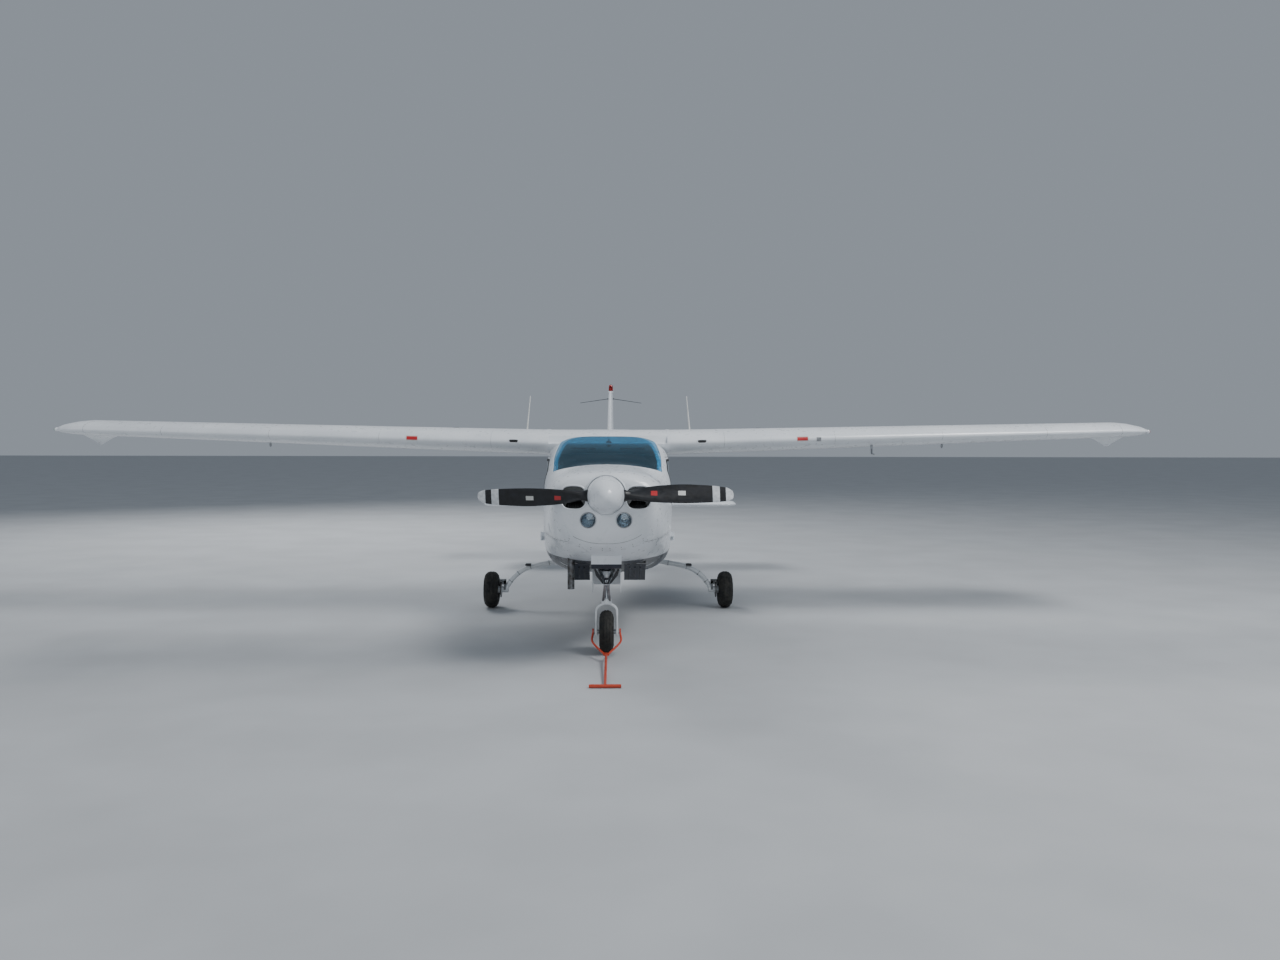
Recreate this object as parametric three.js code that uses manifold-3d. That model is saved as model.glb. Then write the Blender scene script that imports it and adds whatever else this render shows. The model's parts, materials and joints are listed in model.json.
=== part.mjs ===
// Four-seat high-wing light aircraft on its lowered tricycle gear. Millimetres, +Z up.
// Stations are measured aft from the spinner tip along +Y, heights up from the ground, and the
// group at the end shifts the stations so that the origin is under the middle of the outline.
// Left is the pilot's left, +X. The nose points to -Y.
import * as THREE from 'three';
import Module from 'manifold-3d';
import { mergeVertices } from 'three/addons/utils/BufferGeometryUtils.js';

const wasm = await Module();
wasm.setup();

// Driving dimensions
const tailEnd = 8310;
const propAxisHeight = 1365;
const propStation = 262;
const spinnerRear = 334;
const cowlFront = 365;
const cowlSeam = 520;
const cowlSplit = 980;
const firewallFront = 1450;
const firewallThickness = 12;
const cabinEnd = 4300;
const tailConeEnd = 7950;
const seatGap = 0.3;
const movingGap = 6;
const surfaceEndGap = 12;
const rudderEndGap = 16;
const rudderGap = 9;
const pinEndGap = 0.7;
const doorGap = 5;
const cowlWall = 10;
const cabinWall = 30;
const tailWall = 12;
const glassThickness = 8;
const floorTop = 655;

// Wing: chord and height shrink in a straight line from root to tip
const wingRoot = { across: 580, leading: 2385, height: 1768, chord: 1665, thickness: 0.15, incidence: 3.5 };
const wingTip = { across: 5100, leading: 2480, height: 1886, chord: 1235, thickness: 0.12, incidence: 0.6 };
const wingCamber = 0.02;
const wingCamberPlace = 0.4;
const flapSpan = [640, 2990];
const aileronSpan = [3015, 5060];
const flapHinge = 0.72;
const aileronHinge = 0.77;

// Wheels
const mainAxle = { across: 1247, station: 3500, height: 193 };
const noseAxle = { station: 980, height: 180 };
const mainTyre = { radius: 193, width: 152, rim: 88 };
const noseTyre = { radius: 180, width: 122, rim: 74 };
const axleRadius = 17;

// Tow bar, its grip on the ground ahead of the nose
const towGripStation = -340;
const towGripRadius = 14;

// Tail
const stabilatorAxis = { station: 7680, height: 870 };
const rudderFoot = { station: 7509, height: 1075 };
const rudderHead = { station: 7945, height: 2400 };

const foremost = towGripStation - towGripRadius;
const centreStation = (foremost + tailEnd) / 2;

// Fuselage sections: station, half width, height of the widest line, top, bottom, and how square
// the section is above and below the widest line (2 is an ellipse)
const fuselageSections = [
  [365, 290, 1350, 1470, 1150, 2.3, 2.2],
  [380, 345, 1350, 1503, 1080, 2.3, 2.2],
  [420, 395, 1348, 1527, 1010, 2.4, 2.3],
  [500, 430, 1342, 1541, 935, 2.5, 2.4],
  [650, 462, 1325, 1550, 855, 2.6, 2.6],
  [850, 490, 1300, 1556, 795, 2.6, 2.8],
  [1150, 520, 1255, 1562, 728, 2.6, 3.1],
  [1450, 548, 1205, 1566, 650, 2.6, 3.6],
  [1700, 570, 1170, 1572, 598, 2.8, 4.0],
  [1900, 588, 1155, 1640, 580, 3.1, 4.2],
  [2100, 602, 1150, 1722, 568, 3.6, 4.4],
  [2300, 610, 1150, 1790, 561, 4.0, 4.4],
  [2450, 613, 1150, 1832, 558, 4.3, 4.4],
  [2700, 615, 1150, 1880, 556, 4.4, 4.3],
  [3100, 615, 1150, 1900, 556, 4.4, 4.1],
  [3600, 600, 1150, 1880, 556, 4.1, 4.0],
  [4000, 560, 1140, 1815, 566, 3.6, 3.8],
  [4400, 490, 1130, 1720, 590, 3.0, 3.4],
  [5000, 375, 1110, 1590, 640, 2.7, 3.0],
  [5600, 285, 1085, 1470, 690, 2.5, 2.7],
  [6200, 215, 1055, 1360, 735, 2.3, 2.5],
  [6800, 155, 1020, 1250, 772, 2.2, 2.3],
  [7300, 108, 975, 1132, 800, 2.1, 2.2],
  [7440, 96, 958, 1062, 809, 2.1, 2.1],
  [7700, 70, 930, 1020, 828, 2.0, 2.0],
  [7950, 36, 910, 952, 862, 2.0, 2.0],
];

// Outlines in the side view, as [station, height]
const windscreenOutline = [[1690, 1556], [1870, 1490], [2415, 1772], [2455, 1860], [2455, 2100], [1690, 2100]];
const scuttleOutline = [[1440, 1300], [1870, 1300], [1870, 1490], [1690, 1556], [1690, 2100], [1440, 2100]];
const bellyOutline = [[1440, 400], [4320, 400], [4320, 740], [1440, 740]];
const roofOutline = [[2240, 1655], [4320, 1655], [4320, 2100], [2455, 2100], [2455, 1860], [2415, 1772], [2240, 1681.4]];
const doorOutline = [[1960, 775], [3140, 775], [3165, 1632], [2241, 1632], [1960, 1486]];
const doorWindowOutline = [[2050, 1190], [3075, 1190], [3096, 1596], [2239, 1596], [2050, 1498]];
const rearWindowOutline = [[3235, 1205], [3880, 1235], [4050, 1345], [3900, 1530], [3235, 1588]];
const baggageDoorOutline = [[3740, 850], [4180, 850], [4180, 1180], [3740, 1165]];

// Materials
const paint = (colour, roughness, metalness) => () => new THREE.MeshStandardMaterial({ color: colour, roughness, metalness });
const whitePaint = paint('#e9e9e4', 0.35, 0.1);
const navyPaint = paint('#1d2430', 0.4, 0.1);
const blackPaint = paint('#17181a', 0.55, 0.1);
const steel = paint('#b9bcc0', 0.3, 0.9);
const castMetal = paint('#6d7074', 0.6, 0.7);
const tintedGlass = paint('#5d7f86', 0.08, 0.0);
const rubber = paint('#1c1c1d', 0.9, 0.0);
const fabric = paint('#6f6a62', 0.95, 0.0);
const redPaint = paint('#c33a1e', 0.45, 0.1);
const lampGlass = paint('#dfe6ea', 0.1, 0.1);
const greyPlastic = paint('#4a4c50', 0.7, 0.0);

// Solids
const bare = (geometry) => {
  const copy = geometry.clone();
  copy.deleteAttribute('normal');
  copy.deleteAttribute('uv');
  return mergeVertices(copy, 1e-4);
};
const toSolid = (geometry) => {
  const plain = bare(geometry);
  return new wasm.Manifold(new wasm.Mesh({
    numProp: 3,
    vertProperties: new Float32Array(plain.attributes.position.array),
    triVerts: new Uint32Array(plain.index.array),
  }));
};
const toGeometry = (solid) => {
  const mesh = solid.getMesh();
  const geometry = new THREE.BufferGeometry();
  geometry.setAttribute('position', new THREE.BufferAttribute(new Float32Array(mesh.vertProperties), 3));
  geometry.setIndex(new THREE.BufferAttribute(new Uint32Array(mesh.triVerts), 1));
  geometry.computeVertexNormals();
  return geometry;
};
const join = (...solids) => solids.reduce((whole, next) => whole.add(next));
const cut = (solid, ...cutters) => cutters.reduce((rest, next) => rest.subtract(next), solid);

// A closed body through rings with the same number of points; in each ring point i lies opposite
// point n - i. The two halves are split into triangles as mirror images, and the two end rings are
// closed with strips between such pairs
const loft = (rings) => {
  const count = rings[0].length;
  const positions = rings.flat(2);
  const faces = [];
  for (let ring = 0; ring < rings.length - 1; ring++) {
    for (let i = 0; i < count; i++) {
      const a = ring * count + i;
      const b = ring * count + ((i + 1) % count);
      if (i < count / 2) faces.push(a, b, b + count, a, b + count, a + count);
      else faces.push(a, b, a + count, b, b + count, a + count);
    }
  }
  const last = (rings.length - 1) * count;
  for (let i = 0; i < count / 2; i++) {
    const across = (count - i) % count;
    const next = count - i - 1;
    faces.push(across, next, i + 1, across, i + 1, i);
    faces.push(last + across, last + i + 1, last + next, last + across, last + i, last + i + 1);
  }
  const kept = [];
  for (let k = 0; k < faces.length; k += 3) {
    const [a, b, c] = faces.slice(k, k + 3);
    if (a !== b && b !== c && c !== a) kept.push(a, b, c);
  }
  const geometry = new THREE.BufferGeometry();
  geometry.setAttribute('position', new THREE.BufferAttribute(new Float32Array(positions), 3));
  geometry.setIndex(kept);
  const solid = toSolid(geometry);
  if (solid.volume() > 0) return solid;
  const turned = [];
  for (let k = 0; k < kept.length; k += 3) turned.push(kept[k], kept[k + 2], kept[k + 1]);
  geometry.setIndex(turned);
  return toSolid(geometry);
};

const block = (low, high) => {
  const size = high.map((value, axis) => value - low[axis]);
  const geometry = new THREE.BoxGeometry(...size);
  geometry.translate(...low.map((value, axis) => value + size[axis] / 2));
  return toSolid(geometry);
};

// A side-view outline extruded across the aircraft
const crosswise = (outline, from, to) => {
  const shape = new THREE.Shape(outline.map(([station, height]) => new THREE.Vector2(station, height)));
  const geometry = new THREE.ExtrudeGeometry(shape, { depth: to - from, bevelEnabled: false });
  geometry.applyMatrix4(new THREE.Matrix4().makeBasis(
    new THREE.Vector3(0, 1, 0), new THREE.Vector3(0, 0, 1), new THREE.Vector3(1, 0, 0)));
  geometry.translate(from, 0, 0);
  return toSolid(geometry);
};

// An outline moved inwards by a gap, for a panel that sits in its hole
const inset = (outline, gap) => {
  const area = outline.reduce((sum, [x, y], i) => {
    const [nextX, nextY] = outline[(i + 1) % outline.length];
    return sum + x * nextY - nextX * y;
  }, 0);
  const inward = Math.sign(area) * gap;
  return outline.map(([x, y], i) => {
    const before = outline[(i + outline.length - 1) % outline.length];
    const after = outline[(i + 1) % outline.length];
    const in1 = new THREE.Vector2(x - before[0], y - before[1]).normalize();
    const in2 = new THREE.Vector2(after[0] - x, after[1] - y).normalize();
    const normal1 = new THREE.Vector2(-in1.y, in1.x);
    const normal2 = new THREE.Vector2(-in2.y, in2.x);
    const scale = inward / (1 + normal1.dot(normal2));
    return [x + (normal1.x + normal2.x) * scale, y + (normal1.y + normal2.y) * scale];
  });
};

// A round bar from one point to another
const bar = (from, to, radius, endRadius = radius, sides = 10) => {
  const start = new THREE.Vector3(...from);
  const end = new THREE.Vector3(...to);
  const along = end.clone().sub(start);
  const geometry = new THREE.CylinderGeometry(endRadius, radius, along.length(), sides);
  geometry.applyQuaternion(new THREE.Quaternion().setFromUnitVectors(new THREE.Vector3(0, 1, 0), along.clone().normalize()));
  geometry.translate(...start.add(end).multiplyScalar(0.5).toArray());
  return toSolid(geometry);
};

// A bent tube through points
const bentTube = (points, radius, steps, sides = 10) => {
  const path = new THREE.CatmullRomCurve3(points.map((point) => new THREE.Vector3(...point)));
  const circle = new THREE.Shape(Array.from({ length: sides }, (unused, i) => new THREE.Vector2(
    radius * Math.cos((i / sides) * 2 * Math.PI), radius * Math.sin((i / sides) * 2 * Math.PI))));
  return toSolid(new THREE.ExtrudeGeometry(circle, { steps, bevelEnabled: false, extrudePath: path }));
};

// A turned part: profile of [radius, along], turned about a line through a point
const turned = (profile, centre, axis, sides) => {
  const geometry = new THREE.LatheGeometry(profile.map(([radius, along]) => new THREE.Vector2(radius, along)), sides);
  geometry.applyQuaternion(new THREE.Quaternion().setFromUnitVectors(new THREE.Vector3(0, 1, 0), new THREE.Vector3(...axis)));
  geometry.translate(...centre);
  const solid = toSolid(geometry);
  if (solid.volume() > 0) return solid;
  const index = geometry.index.array;
  for (let k = 0; k < index.length; k += 3) [index[k + 1], index[k + 2]] = [index[k + 2], index[k + 1]];
  return toSolid(geometry);
};

const moved = (solid, by) => toSolid(toGeometry(solid).translate(...by));

const mirrored = (solid) => {
  const geometry = toGeometry(solid);
  geometry.scale(-1, 1, 1);
  const index = geometry.index.array;
  for (let k = 0; k < index.length; k += 3) [index[k + 1], index[k + 2]] = [index[k + 2], index[k + 1]];
  return toSolid(geometry);
};

// Scene graph
const aircraft = new THREE.Group();
const place = (name, solid, finish) => {
  const mesh = new THREE.Mesh(toGeometry(solid), finish());
  mesh.name = name;
  aircraft.add(mesh);
};
const placePair = (name, solid, finish) => {
  place(`${name}_left`, solid, finish);
  place(`${name}_right`, mirrored(solid), finish);
};

// Fuselage form: a smooth curve through each column of the table
const sectionAt = (station) => {
  const rows = fuselageSections;
  const last = rows.length - 1;
  let k = 0;
  while (k < last - 1 && rows[k + 1][0] <= station) k++;
  const slope = (i, column) => (rows[i + 1][column] - rows[i][column]) / (rows[i + 1][0] - rows[i][0]);
  const tangent = (i, column) => {
    if (i === 0) return slope(0, column);
    if (i === last) return slope(last - 1, column);
    const before = slope(i - 1, column);
    const after = slope(i, column);
    return before * after <= 0 ? 0 : (2 * before * after) / (before + after);
  };
  const width = rows[k + 1][0] - rows[k][0];
  const t = (station - rows[k][0]) / width;
  return rows[0].map((unused, column) => {
    if (column === 0) return station;
    const h00 = 2 * t ** 3 - 3 * t ** 2 + 1;
    const h10 = t ** 3 - 2 * t ** 2 + t;
    const h01 = -2 * t ** 3 + 3 * t ** 2;
    const h11 = t ** 3 - t ** 2;
    return h00 * rows[k][column] + h10 * width * tangent(k, column)
      + h01 * rows[k + 1][column] + h11 * width * tangent(k + 1, column);
  });
};
const ringPoints = 24;
const fuselageRing = (station, depth) => {
  const [, halfWidth, widest, top, bottom, upperRound, lowerRound] = sectionAt(station);
  return Array.from({ length: ringPoints }, (unused, i) => {
    const turn = (i / ringPoints) * 2 * Math.PI - Math.PI / 2;
    const c = i === 0 || i === ringPoints / 2 ? 0 : Math.cos(turn);
    const s = Math.sin(turn);
    const power = s > 0 ? upperRound : lowerRound;
    const reach = (Math.abs(c) ** power + Math.abs(s) ** power) ** (-1 / power);
    const rise = s > 0 ? top - depth - widest : widest - bottom - depth;
    return [(halfWidth - depth) * reach * c, station, widest + rise * reach * s];
  });
};
const fuselageBody = (from, to, depth) => {
  const between = fuselageSections.map((row) => row[0]).filter((station) => station > from + 15 && station < to - 15);
  return loft([from, ...between, to].map((station) => fuselageRing(station, depth)));
};

// Wing form
const wingAt = (across) => {
  const t = (across - wingRoot.across) / (wingTip.across - wingRoot.across);
  return Object.fromEntries(Object.keys(wingRoot).map((key) => [key, wingRoot[key] + t * (wingTip[key] - wingRoot[key])]));
};
const halfThickness = (u, ratio) => 5 * ratio * (0.2969 * Math.sqrt(u) - 0.126 * u - 0.3516 * u ** 2
  + 0.2843 * u ** 3 - 0.1036 * u ** 4);
const camberAt = (u, camber) => (u < wingCamberPlace
  ? (camber / wingCamberPlace ** 2) * (2 * wingCamberPlace * u - u ** 2)
  : (camber / (1 - wingCamberPlace) ** 2) * (1 - 2 * wingCamberPlace + 2 * wingCamberPlace * u - u ** 2));
// Half the points over the top from trailing to leading edge, half back along the underside
const wingFoilPoints = 20;
const tailFoilPoints = 16;
const foilLoop = (ratio, camber, edge, count) => Array.from({ length: count }, (unused, i) => {
  const turn = (i / count) * 2 * Math.PI;
  const u = (1 + Math.cos(turn)) / 2;
  const side = i < count / 2 ? 1 : -1;
  const thick = i === 0 || i === count / 2 ? 0 : halfThickness(u, ratio) + edge * u;
  return [u, camberAt(u, camber) + side * thick];
});
const wingPoint = (section, u, v) => {
  const tilt = THREE.MathUtils.degToRad(section.incidence);
  return [
    section.across,
    section.leading + section.chord * (u * Math.cos(tilt) + v * Math.sin(tilt)),
    section.height + section.chord * (v * Math.cos(tilt) - u * Math.sin(tilt)),
  ];
};
const wingRing = (section) => foilLoop(section.thickness, wingCamber, 0.0015, wingFoilPoints).map(([u, v]) => wingPoint(section, u, v));
const wingBody = (from, to) => loft([from, to].map((across) => wingRing(wingAt(across))));

// A moving surface and its cove share one hinge line: the nose is round about it, and the cove is
// the same shape with a larger radius
const noseRing = (centre, radius, reach) => {
  const [across, station, height] = centre;
  const arc = Array.from({ length: 9 }, (unused, i) => {
    const turn = Math.PI / 2 + (i / 8) * Math.PI;
    return [across, station + radius * Math.cos(turn), height + radius * Math.sin(turn)];
  });
  return [[across, station + reach, height], [across, station + reach, height + reach * 0.5], ...arc,
    [across, station + reach, height - reach * 0.5]];
};
const hingeAt = (across, fraction) => {
  const section = wingAt(across);
  return {
    centre: wingPoint(section, fraction, camberAt(fraction, wingCamber)),
    radius: section.chord * halfThickness(fraction, section.thickness),
  };
};
const wingSurface = ([inner, outer], fraction) => {
  const a = hingeAt(inner, fraction);
  const b = hingeAt(outer, fraction);
  const stretch = (t) => a.centre.map((value, axis) => value + t * (b.centre[axis] - value));
  const trimmed = surfaceEndGap / (outer - inner);
  const pinShare = (surfaceEndGap - pinEndGap) / (outer - inner);
  const reach = 700;
  const cove = loft([noseRing(a.centre, a.radius + movingGap + 2, reach), noseRing(b.centre, b.radius + movingGap + 2, reach)]);
  const nose = loft([noseRing(stretch(trimmed), a.radius, reach), noseRing(stretch(1 - trimmed), b.radius, reach)]);
  const pinRadius = 6;
  const pins = [
    bar(stretch(-0.004), stretch(pinShare), pinRadius),
    bar(stretch(1 - pinShare), stretch(1.004), pinRadius),
  ];
  return { cove, pins, surface: wingBody(inner - 1, outer + 1).intersect(nose) };
};

const flap = wingSurface(flapSpan, flapHinge);
const aileron = wingSurface(aileronSpan, aileronHinge);
const tieDownStation = 2920;
const tieDownAcross = 3400;
const tieDownRing = (() => {
  const geometry = new THREE.TorusGeometry(20, 5, 6, 14);
  geometry.rotateY(Math.PI / 2);
  geometry.translate(tieDownAcross, tieDownStation, 1739);
  return toSolid(geometry);
})();

// Drooped wing tip: outward step, setback, chord share, thickness share, droop of the trailing edge
const tipSections = [
  [0, 0, 1, 1, 0],
  [110, 10, 0.985, 0.93, 22],
  [210, 45, 0.94, 0.74, 70],
  [270, 100, 0.88, 0.5, 110],
  [302, 175, 0.8, 0.24, 138],
  [310, 240, 0.72, 0.06, 148],
];
const tipRing = ([outward, setback, chordShare, thicknessShare, droop]) => {
  const section = { ...wingTip, across: wingTip.across + outward, leading: wingTip.leading + setback };
  const thickness = wingTip.thickness * thicknessShare;
  section.chord = wingTip.chord * chordShare;
  return foilLoop(thickness, wingCamber, 0.0015, wingFoilPoints).map(([u, v]) => {
    const [across, station, height] = wingPoint(section, u, v);
    return [across, station, height - droop * u ** 1.6];
  });
};
const wingTop = (across, u) => {
  const section = wingAt(across);
  return wingPoint(section, u, camberAt(u, wingCamber) + halfThickness(u, section.thickness));
};
const whip = { across: 840, chordShare: 0.46, length: 372, lean: 60 };
const whipFoot = wingTop(whip.across, whip.chordShare);
const fromWhipFoot = (across, station, height) => [whipFoot[0] + across, whipFoot[1] + station, whipFoot[2] + height];
const whipAerial = join(
  bar(fromWhipFoot(0, 0, -10), fromWhipFoot(0, 0, 14), 16, 11, 10),
  bar(fromWhipFoot(0, 0, 5), fromWhipFoot(-whip.lean / 2, whip.lean, whip.length), 5, 2.5, 8));
const wingPanel = join(cut(wingBody(wingRoot.across + seatGap, wingTip.across), flap.cove, aileron.cove,
  fuselageBody(2200, 4200, -seatGap)),
  loft(tipSections.map(tipRing)), ...flap.pins, ...aileron.pins, tieDownRing, whipAerial);
placePair('wing', wingPanel, whitePaint);
placePair('flap', flap.surface, whitePaint);
placePair('aileron', aileron.surface, whitePaint);

// Fuselage shells
const outerCowl = fuselageBody(cowlFront, firewallFront - seatGap, 0);
const bowlWall = 14;
const innerCowl = moved(fuselageBody(cowlFront, firewallFront, cowlWall), [0, bowlWall, 0]);
const cowlShell = cut(outerCowl, innerCowl);

// Nose bowl with its two inlets, lamp holes and shaft hole
const inletCentre = { across: 255, height: 1344 };
const inletSize = { width: 204, height: 190, corner: 60 };
const roundedSlot = (centreAcross, centreHeight, width, height, corner, from, to) => {
  const shape = new THREE.Shape();
  const left = -width / 2;
  const low = -height / 2;
  shape.moveTo(left + corner, low);
  shape.lineTo(-left - corner, low);
  shape.absarc(-left - corner, low + corner, corner, -Math.PI / 2, 0, false);
  shape.lineTo(-left, -low - corner);
  shape.absarc(-left - corner, -low - corner, corner, 0, Math.PI / 2, false);
  shape.lineTo(left + corner, -low);
  shape.absarc(left + corner, -low - corner, corner, Math.PI / 2, Math.PI, false);
  shape.lineTo(left, low + corner);
  shape.absarc(left + corner, low + corner, corner, Math.PI, Math.PI * 1.5, false);
  const geometry = new THREE.ExtrudeGeometry(shape, { depth: to - from, bevelEnabled: false, curveSegments: 3 });
  geometry.rotateX(Math.PI / 2);
  geometry.translate(centreAcross, to, centreHeight);
  return toSolid(geometry);
};
const inletCutters = [-1, 1].map((side) => roundedSlot(side * inletCentre.across, inletCentre.height,
  inletSize.width, inletSize.height, inletSize.corner, cowlFront - 20, cowlFront + 75));
const lamp = { across: 141, height: 1166, radius: 57, front: 374, depth: 46 };
const lampHoles = [-1, 1].map((side) => bar([side * lamp.across, 340, lamp.height],
  [side * lamp.across, 460, lamp.height], lamp.radius + seatGap, lamp.radius + seatGap, 16));
const shaftHole = bar([0, 340, propAxisHeight], [0, 460, propAxisHeight], 60, 60, 20);
const bowlRegion = block([-700, 300, 400], [700, cowlSeam - seatGap, 2000]);
place('nose_bowl', cut(cowlShell.intersect(bowlRegion), ...inletCutters, ...lampHoles, shaftHole), whitePaint);
[-1, 1].forEach((side) => place(`landing_lamp_${side > 0 ? 'left' : 'right'}`,
  bar([side * lamp.across, lamp.front, lamp.height], [side * lamp.across, lamp.front + lamp.depth, lamp.height],
    lamp.radius, lamp.radius * 0.9, 16), lampGlass));

// Upper and lower cowl
const noseWell = { halfWidth: 122, front: 850, rear: 1400 };
const cowlFlap = { inner: 150, outer: 335, front: 1215, rear: 1425, frontHeight: 724, rearHeight: 560, thickness: 6 };
const exhaust = { across: -305, station: 1120, top: 1049.7, bottom: 522, radius: 30 };
place('cowl_upper', cowlShell.intersect(block([-700, cowlSeam + seatGap, cowlSplit + seatGap], [700, 1500, 2000])), whitePaint);
// The fairing ahead of the nose gear well has a steep front face and upright sides
const chinOutline = [[640, 872], [652, 856], [690, 751], [706, 742], [noseWell.front, 742], [noseWell.front, 900], [640, 900]];
const chinFairing = crosswise(chinOutline, -noseWell.halfWidth - 1, noseWell.halfWidth + 1);
const lowerRegion = block([-700, cowlSeam + seatGap, 400], [700, 1500, cowlSplit - seatGap]);
const lowerShell = join(cowlShell, cut(chinFairing, innerCowl)).intersect(lowerRegion);
const wellCutter = block([-noseWell.halfWidth, noseWell.front, 400], [noseWell.halfWidth, noseWell.rear, 900]);
const flapCutters = [-1, 1].map((side) => block(
  [Math.min(side * cowlFlap.inner, side * cowlFlap.outer), cowlFlap.front, 400],
  [Math.max(side * cowlFlap.inner, side * cowlFlap.outer), 1500, 850]));
const exhaustHole = bar([exhaust.across, exhaust.station, 600], [exhaust.across, exhaust.station, 900], exhaust.radius + 8);
const cowlFlapOutline = [
  [cowlFlap.front - 8, cowlFlap.frontHeight],
  [cowlFlap.rear, cowlFlap.rearHeight],
  [cowlFlap.rear, cowlFlap.rearHeight + cowlFlap.thickness * 1.5],
  [cowlFlap.front - 8, cowlFlap.frontHeight + cowlFlap.thickness * 1.5],
];
const bayDoorOutline = [[noseWell.front + 40, 520], [noseWell.rear - 10, 520], [noseWell.rear - 10, 880], [noseWell.front + 40, 880]];
const underCowl = [-1, 1].flatMap((side) => [
  crosswise(cowlFlapOutline, ...[side * cowlFlap.inner, side * cowlFlap.outer].sort((a, b) => a - b)),
  crosswise(bayDoorOutline, ...[side * noseWell.halfWidth, side * (noseWell.halfWidth - 6)].sort((a, b) => a - b)),
]);
place('cowl_lower', cut(join(cut(lowerShell, wellCutter, ...flapCutters), ...underCowl), exhaustHole), navyPaint);
place('exhaust_pipe', bar([exhaust.across, exhaust.station, exhaust.bottom],
  [exhaust.across, exhaust.station, exhaust.top], exhaust.radius), castMetal);

// Engine block with shaft and mount tubes
const engine = { front: 640, rear: 1300, halfWidth: 350, low: 1050, high: 1445 };
const mountPoints = [[-250, 1120], [250, 1120], [-250, 1400], [250, 1400]];
place('engine_block', join(block([-engine.halfWidth, engine.front, engine.low], [engine.halfWidth, engine.rear, engine.high]),
  bar([0, spinnerRear + seatGap, propAxisHeight], [0, engine.front + 20, propAxisHeight], 45),
  ...mountPoints.map(([across, height]) => bar([across, engine.rear - 20, height],
    [across, firewallFront - seatGap, height], 14, 14, 10))), castMetal);
const firewallRear = firewallFront + firewallThickness;
place('firewall', fuselageBody(firewallFront, firewallRear, 0), steel);

// Cabin shell and its panels
const cabinFront = firewallRear + seatGap;
const outerCabin = fuselageBody(cabinFront, cabinEnd, 0);
const innerCabin = fuselageBody(cabinFront - 20, cabinEnd + 20, cabinWall);
const cabinShell = cut(outerCabin, innerCabin);
const wide = 800;
const through = (outline, gap = 0) => crosswise(inset(outline, gap), -wide, wide);
const leftSide = (outline, gap = 0) => crosswise(inset(outline, gap), 0, wide);
place('belly', cabinShell.intersect(through(bellyOutline, seatGap)), navyPaint);
place('scuttle', cabinShell.intersect(through(scuttleOutline, seatGap)), whitePaint);

// The wing's centre section spans the roof
const centreSection = loft([-wingRoot.across, wingRoot.across].map((across) => wingRing({ ...wingRoot, across })));
const roofShell = cabinShell.intersect(through(roofOutline, seatGap));
const roof = join(roofShell, cut(centreSection, block([-wide, 2000, 1500], [wide, 2457, 1660])).intersect(
  through([[2380, 1655 + seatGap], [4320, 1655 + seatGap], [4320, 2100], [2380, 2100]])));

// Windscreen
const glassShell = cut(fuselageBody(cabinFront, cabinEnd, 0), fuselageBody(cabinFront - 20, cabinEnd + 20, glassThickness));
place('windscreen', glassShell.intersect(through(windscreenOutline, seatGap)), tintedGlass);
place('roof', cut(roof, through(inset(windscreenOutline, -seatGap))), whitePaint);

// Sides, each with its door and window holes
const wingHole = crosswise([[2240, 1655], [4400, 1655], [4400, 2200], [2240, 2200]], -wide, wide);
const doorHinge = { across: 614, station: 1957, heights: [900, 1260], leaf: 60 };
const baggageHinge = { across: 598, station: 3737, heights: [925, 1110], leaf: 36 };
const lug = { radius: 8, length: 40 };
const sides = cut(cabinShell, through(bellyOutline), through(scuttleOutline), through(windscreenOutline), wingHole,
  through(doorOutline), through(rearWindowOutline));
const sideLeft = sides.intersect(block([0, 1400, 400], [wide, 4400, 2100]));
// Two knuckles one above the other on the hinge line: the upper stands on the body, the lower on the door
const lugPair = (hinge, height) => {
  const upper = [height, height + lug.length];
  const lower = [height - seatGap - lug.length, height - seatGap];
  const knuckle = ([low, high]) => bar([hinge.across, hinge.station, low], [hinge.across, hinge.station, high], lug.radius);
  return {
    fixed: join(knuckle(upper), block([hinge.across - hinge.leaf, hinge.station - 22, upper[0]],
      [hinge.across, hinge.station - 1, upper[1]])),
    moving: join(knuckle(lower),
      block([hinge.across - hinge.leaf, hinge.station + 9, lower[0]], [hinge.across - 2, hinge.station + 26, lower[1]]),
      block([hinge.across - 6, hinge.station, lower[0]], [hinge.across + 6, hinge.station + 22, lower[1]])),
  };
};
const lugs = doorHinge.heights.map((height) => lugPair(doorHinge, height));
const baggageLugs = baggageHinge.heights.map((height) => lugPair(baggageHinge, height));
const doorLeft = cut(cabinShell.intersect(leftSide(doorOutline, doorGap)), leftSide(doorWindowOutline));
const sideWithLugs = join(sideLeft, ...lugs.map((pair) => pair.fixed));
const doorWithLugs = join(doorLeft, ...lugs.map((pair) => pair.moving));

// Baggage door on the left side only
const baggage = leftSide(baggageDoorOutline, doorGap);
place('side_left', join(cut(sideWithLugs, leftSide(baggageDoorOutline)), ...baggageLugs.map((pair) => pair.fixed)), whitePaint);
place('side_right', mirrored(sideWithLugs), whitePaint);
place('baggage_door', join(cabinShell.intersect(baggage), ...baggageLugs.map((pair) => pair.moving)), whitePaint);
placePair('door', doorWithLugs, whitePaint);

// Side glass lies in the middle of the wall
const paneShell = cut(fuselageBody(cabinFront, cabinEnd, 9), fuselageBody(cabinFront - 20, cabinEnd + 20, 15));
placePair('door_window', paneShell.intersect(leftSide(doorWindowOutline, seatGap)), tintedGlass);
placePair('rear_window', paneShell.intersect(leftSide(rearWindowOutline, seatGap)), tintedGlass);

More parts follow.
